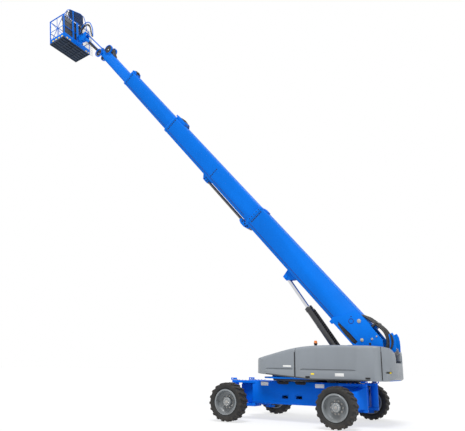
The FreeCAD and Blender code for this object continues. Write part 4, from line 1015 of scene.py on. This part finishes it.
# round guards and coiled hoses each side of the boom's head
guards, coils = [], []
for left in (1, -1):
    for u, v, radius, y0, y1 in ((19.06, 0.44, 0.235, 0.13, 0.205), (19.44, -0.03, 0.215, 0.176, 0.235)):
        y0, y1 = left * y0, left * y1
        guards.append(lathe(drum(y0, y1, radius - 0.03, radius), (u, 0, v), "Y", 40))
        coils.append(lathe([(left * 0.172, 0.04), (left * 0.172, radius - 0.045),
                            (left * 0.184, radius - 0.045), (left * 0.188, radius - 0.085),
                            (left * 0.184, 0.09), (left * 0.184, 0.04)], (u, 0, v), "Y", 32))
    outline = ((18.7, 0.3), (18.98, 0.26), (19.02, 0.36), (18.9, 0.44), (18.72, 0.39))
    guards.append(upright(outline, left * 0.172, left * 0.012))
boom_keep(guards, "head_guards", "boom_tip", "blue_paint")
boom_keep(coils, "head_hose_coils", "boom_tip", "hose")
lines = [hose([(18.5, y, 0.4), (18.58, y, 0.445), (18.8, y, 0.5), (19.0, y, 0.6), (19.18, y, 0.56),
               (19.2, y, 0.44)], 0.02) for y in (-0.1, -0.05, 0.0, 0.05, 0.1)]
boom_keep(lines, "head_top_hoses", "boom_tip", "hose")

# ------------------------------------------------------------------ platform
# Drawn level from the jib's outer pin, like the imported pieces, then leaned with them.
FLOOR_Z, NEAR_X, FAR_X, HALF_W = -0.15, 0.59, 1.64, 0.915
MESH_X = NEAR_X + 0.019


def platform_keep(piece, name, finish, body="platform"):
    keep(settle(piece, ON_PLATFORM), name, body, finish)


def wired(piece, thickness):
    """Turn a piece's edges into wires."""
    only(piece)
    wires = piece.modifiers.new("wires", "WIREFRAME")
    wires.thickness = thickness
    wires.use_boundary = True
    wires.use_even_offset = False
    bpy.ops.object.modifier_apply(modifier=wires.name)


keep_finer("platform_floor", 0.003, "platform_deck", "platform", "floor_aluminium")
keep_finer("platform_mount", 0.004, "platform_bracket", "platform", "blue_paint")
keep_finer("control_console", 0.008, "console_box", "platform", "console_plastic")
slats = [block((x - 0.02, -HALF_W + 0.03, FLOOR_Z + 0.004), (x + 0.02, HALF_W - 0.03, FLOOR_Z + 0.034), 0.003)
         for x in (0.78, 0.95, 1.12, 1.29, 1.46)]
platform_keep(slats, "deck_cross_members", "floor_aluminium")
keep_finer("platform_rails", 0.001, "guard_rails", "platform", "blue_paint")
keep_finer("platform_gate", 0.001, "side_gate", "gate", "blue_paint")
kick = block((NEAR_X + 0.07, HALF_W - 0.014, FLOOR_Z + 0.085), (FAR_X - 0.07, HALF_W - 0.006, FLOOR_Z + 0.3),
             0.002)
platform_keep(kick, "gate_kick_plate", "blue_paint", "gate")
marks = [block((NEAR_X + 0.12 + number * 0.21, HALF_W - 0.006, FLOOR_Z + 0.09),
               (NEAR_X + 0.24 + number * 0.21, HALF_W - 0.002, FLOOR_Z + 0.155), 0.001)
         for number in range(4)]
platform_keep(marks, "gate_yellow_marks", "yellow_paint", "gate")
kicks = [block((x, -HALF_W + 0.02, z), (x + 0.008, HALF_W - 0.02, FLOOR_Z + 0.28), 0.002)
         for x, z in ((NEAR_X - 0.006, FLOOR_Z - 0.03), (FAR_X - 0.012, FLOOR_Z + 0.045))]
kicks.append(block((NEAR_X + 0.02, -HALF_W + 0.004, FLOOR_Z + 0.045),
                   (FAR_X - 0.02, -HALF_W + 0.012, FLOOR_Z + 0.28), 0.002))
platform_keep(kicks, "kick_plates", "blue_paint")
marks = [block((NEAR_X - 0.012, y, FLOOR_Z - 0.01), (NEAR_X - 0.006, y + 0.11, FLOOR_Z + 0.055), 0.001)
         for y in (-0.84, -0.66, 0.5, 0.68)]
platform_keep(marks, "near_yellow_marks", "yellow_paint")


def grid(y, z, wide, tall, columns, rows):
    """Upright grid across the machine, in the rails that face the boom."""
    only()
    bpy.ops.mesh.primitive_grid_add(x_subdivisions=columns, y_subdivisions=rows, size=1)
    sheet = bpy.context.object
    sheet.scale = (wide, tall, 1)
    across = Matrix.Rotation(pi / 2, 4, "Z") @ Matrix.Rotation(pi / 2, 4, "X")
    return settle(sheet, Matrix.Translation((MESH_X, y, z)) @ across)


panels = [grid(-0.605, 0.365, 0.55, 0.43, 10, 8), grid(-0.605, 0.975, 0.55, 0.71, 10, 14)]
for panel in panels:
    wired(panel, 0.012)
platform_keep(panels, "near_side_mesh", "seal")

# open mesh over the console, trimmed to the guard hoop
hoop = [(0.85, 1.36), (0.64, 1.765), (0.445, 1.93), (-0.3, 2.185), (-0.545, 2.145), (-0.69, 1.77),
        (-0.73, 1.36)]


def under_hoop(y, z):
    """Whether a point across the machine lies inside the hoop's outline."""
    inside = False
    for (ya, za), (yb, zb) in zip(hoop, hoop[1:] + hoop[:1]):
        if (za > z) != (zb > z) and y < ya + (z - za) * (yb - ya) / (zb - za):
            inside = not inside
    return inside


net = grid(0.02, 1.79, 1.7, 0.9, 44, 24)
start_editing(net)
choose_faces(net, lambda middle, normal: not under_hoop(middle.y, middle.z))
bpy.ops.mesh.delete(type="FACE")
stop_editing()
wired(net, 0.027)
platform_keep(net, "hoop_mesh", "dark_mesh")
post = block((NEAR_X - 0.012, 0.235, FLOOR_Z + 0.05), (NEAR_X + 0.03, 0.295, 1.97), 0.006)
platform_keep(post, "console_post", "blue_paint")
loops = [hose([(NEAR_X + 0.06, y0, 1.3), (NEAR_X + 0.07, y0 - 0.03, 1.55),
               (NEAR_X + 0.09, (y0 + y1) / 2, 1.55 + rise), (NEAR_X + 0.07, y1 + 0.03, 1.5),
               (NEAR_X + 0.06, y1, 1.3)], 0.02)
         for y0, y1, rise in ((0.72, 0.45, 0.3), (0.6, 0.2, 0.42), (0.35, -0.1, 0.5))]
platform_keep(loops, "console_hose_loops", "hose")
box = block((NEAR_X + 0.05, 0.335, 1.02), (NEAR_X + 0.24, 0.85, 1.33), 0.015)
platform_keep(box, "left_control_box", "grey_box")
boxes = [block((NEAR_X + 0.05, 0.335, 0.14), (NEAR_X + 0.2, 0.85, 0.98), 0.015),
         block((NEAR_X + 0.045, -0.46, 0.1), (NEAR_X + 0.12, 0.28, 1.3), 0.015)]
platform_keep(boxes, "tool_boxes", "console_plastic")

# upper control box, joysticks, button and switches on the console
x = NEAR_X + 0.045
box = block((x, -0.3, 0.98), (x + 0.16, 0.3, 1.32), 0.012)
platform_keep(box, "upper_control_box", "grey_box")
lean = Matrix.Rotation(radians(30), 4, "Y")
sticks = []
for y in (-0.2, 0.2):
    stick = lathe([(0.0, 0), (0.0, 0.032), (0.012, 0.03), (0.03, 0.014), (0.05, 0.009), (0.085, 0.009),
                   (0.09, 0.018), (0.11, 0.02), (0.122, 0.012), (0.124, 0)], steps=20)
    sticks.append(settle(stick, Matrix.Translation((x + 0.19, y, 0.885)) @ lean))
platform_keep(sticks, "joysticks", "seal")
button = lathe([(0, 0), (0, 0.012), (0.012, 0.012), (0.014, 0.024), (0.028, 0.024), (0.034, 0.016),
                (0.034, 0)], steps=24)
settle(button, Matrix.Translation((x + 0.185, 0.0, 0.9)) @ lean)
platform_keep(button, "stop_button", "red_plastic")
pedal = block((1.05, -0.09, FLOOR_Z + 0.045), (1.27, 0.07, FLOOR_Z + 0.075), 0.006)
outline = ((1.03, 0.045), (1.03, 0.15), (1.1, 0.17), (1.2, 0.15), (1.2, 0.14), (1.045, 0.14),
           (1.045, 0.045))
cover = upright([(x, FLOOR_Z + rise) for x, rise in outline], -0.1, 0.18, 0.002)
platform_keep([pedal, cover], "foot_switch", "black_paint")

# hoses from the jib's head up to the console, and the rotator's housing
loops = [hose([(0.1, 0.135, 0.25), (0.14, 0.15 + out, 0.45), (0.12, 0.17 + out, 0.72),
               (0.2, 0.15 + out, 0.9), (0.3, 0.1 + out, 0.84), (0.33, 0.05 + out, 0.6),
               (0.33, 0.04, 0.44)], 0.017) for out in (0.0, 0.02, 0.04)]
platform_keep(loops, "rotator_hose_loops", "hose", "jib_head")
guard = hose([(0.24, 0.165, 0.36), (0.16, 0.165, 0.62), (-0.12, 0.165, 0.84), (-0.42, 0.165, 0.76),
              (-0.58, 0.165, 0.4), (-0.64, 0.165, 0.05), (-0.62, 0.165, -0.28)], 0.024)
platform_keep(guard, "hose_guard_tube", "blue_paint", "jib_head")
loops = [hose([(0.22, y, 0.3), (0.08, y, 0.58 - fall), (-0.14, y, 0.74 - fall), (-0.38, y, 0.64 - fall),
               (-0.5, y, 0.34 - fall), (-0.52, y, 0.0), (-0.6, y, -0.3)], 0.02)
         for y, fall in ((0.15, 0.0), (0.19, 0.04), (0.17, 0.1))]
platform_keep(loops, "guarded_hoses", "hose", "jib_head")
housing = lathe([(0.0, 0.0951), (0.0, 0.118), (0.02, 0.122), (0.2, 0.122), (0.22, 0.118), (0.22, 0.0951)],
                (0.33, 0, 0), "Z", 36)
platform_keep(housing, "rotator_housing", "blue_paint", "jib_head")

# ------------------------------------------------------------------ finishes for the pieces kept as packed
PACKED = {"boom_guide_rods": "dark_steel"}
for node, finish in PACKED.items():
    nodes[node].data.materials.clear()
    nodes[node].data.materials.append(FINISHES[finish])
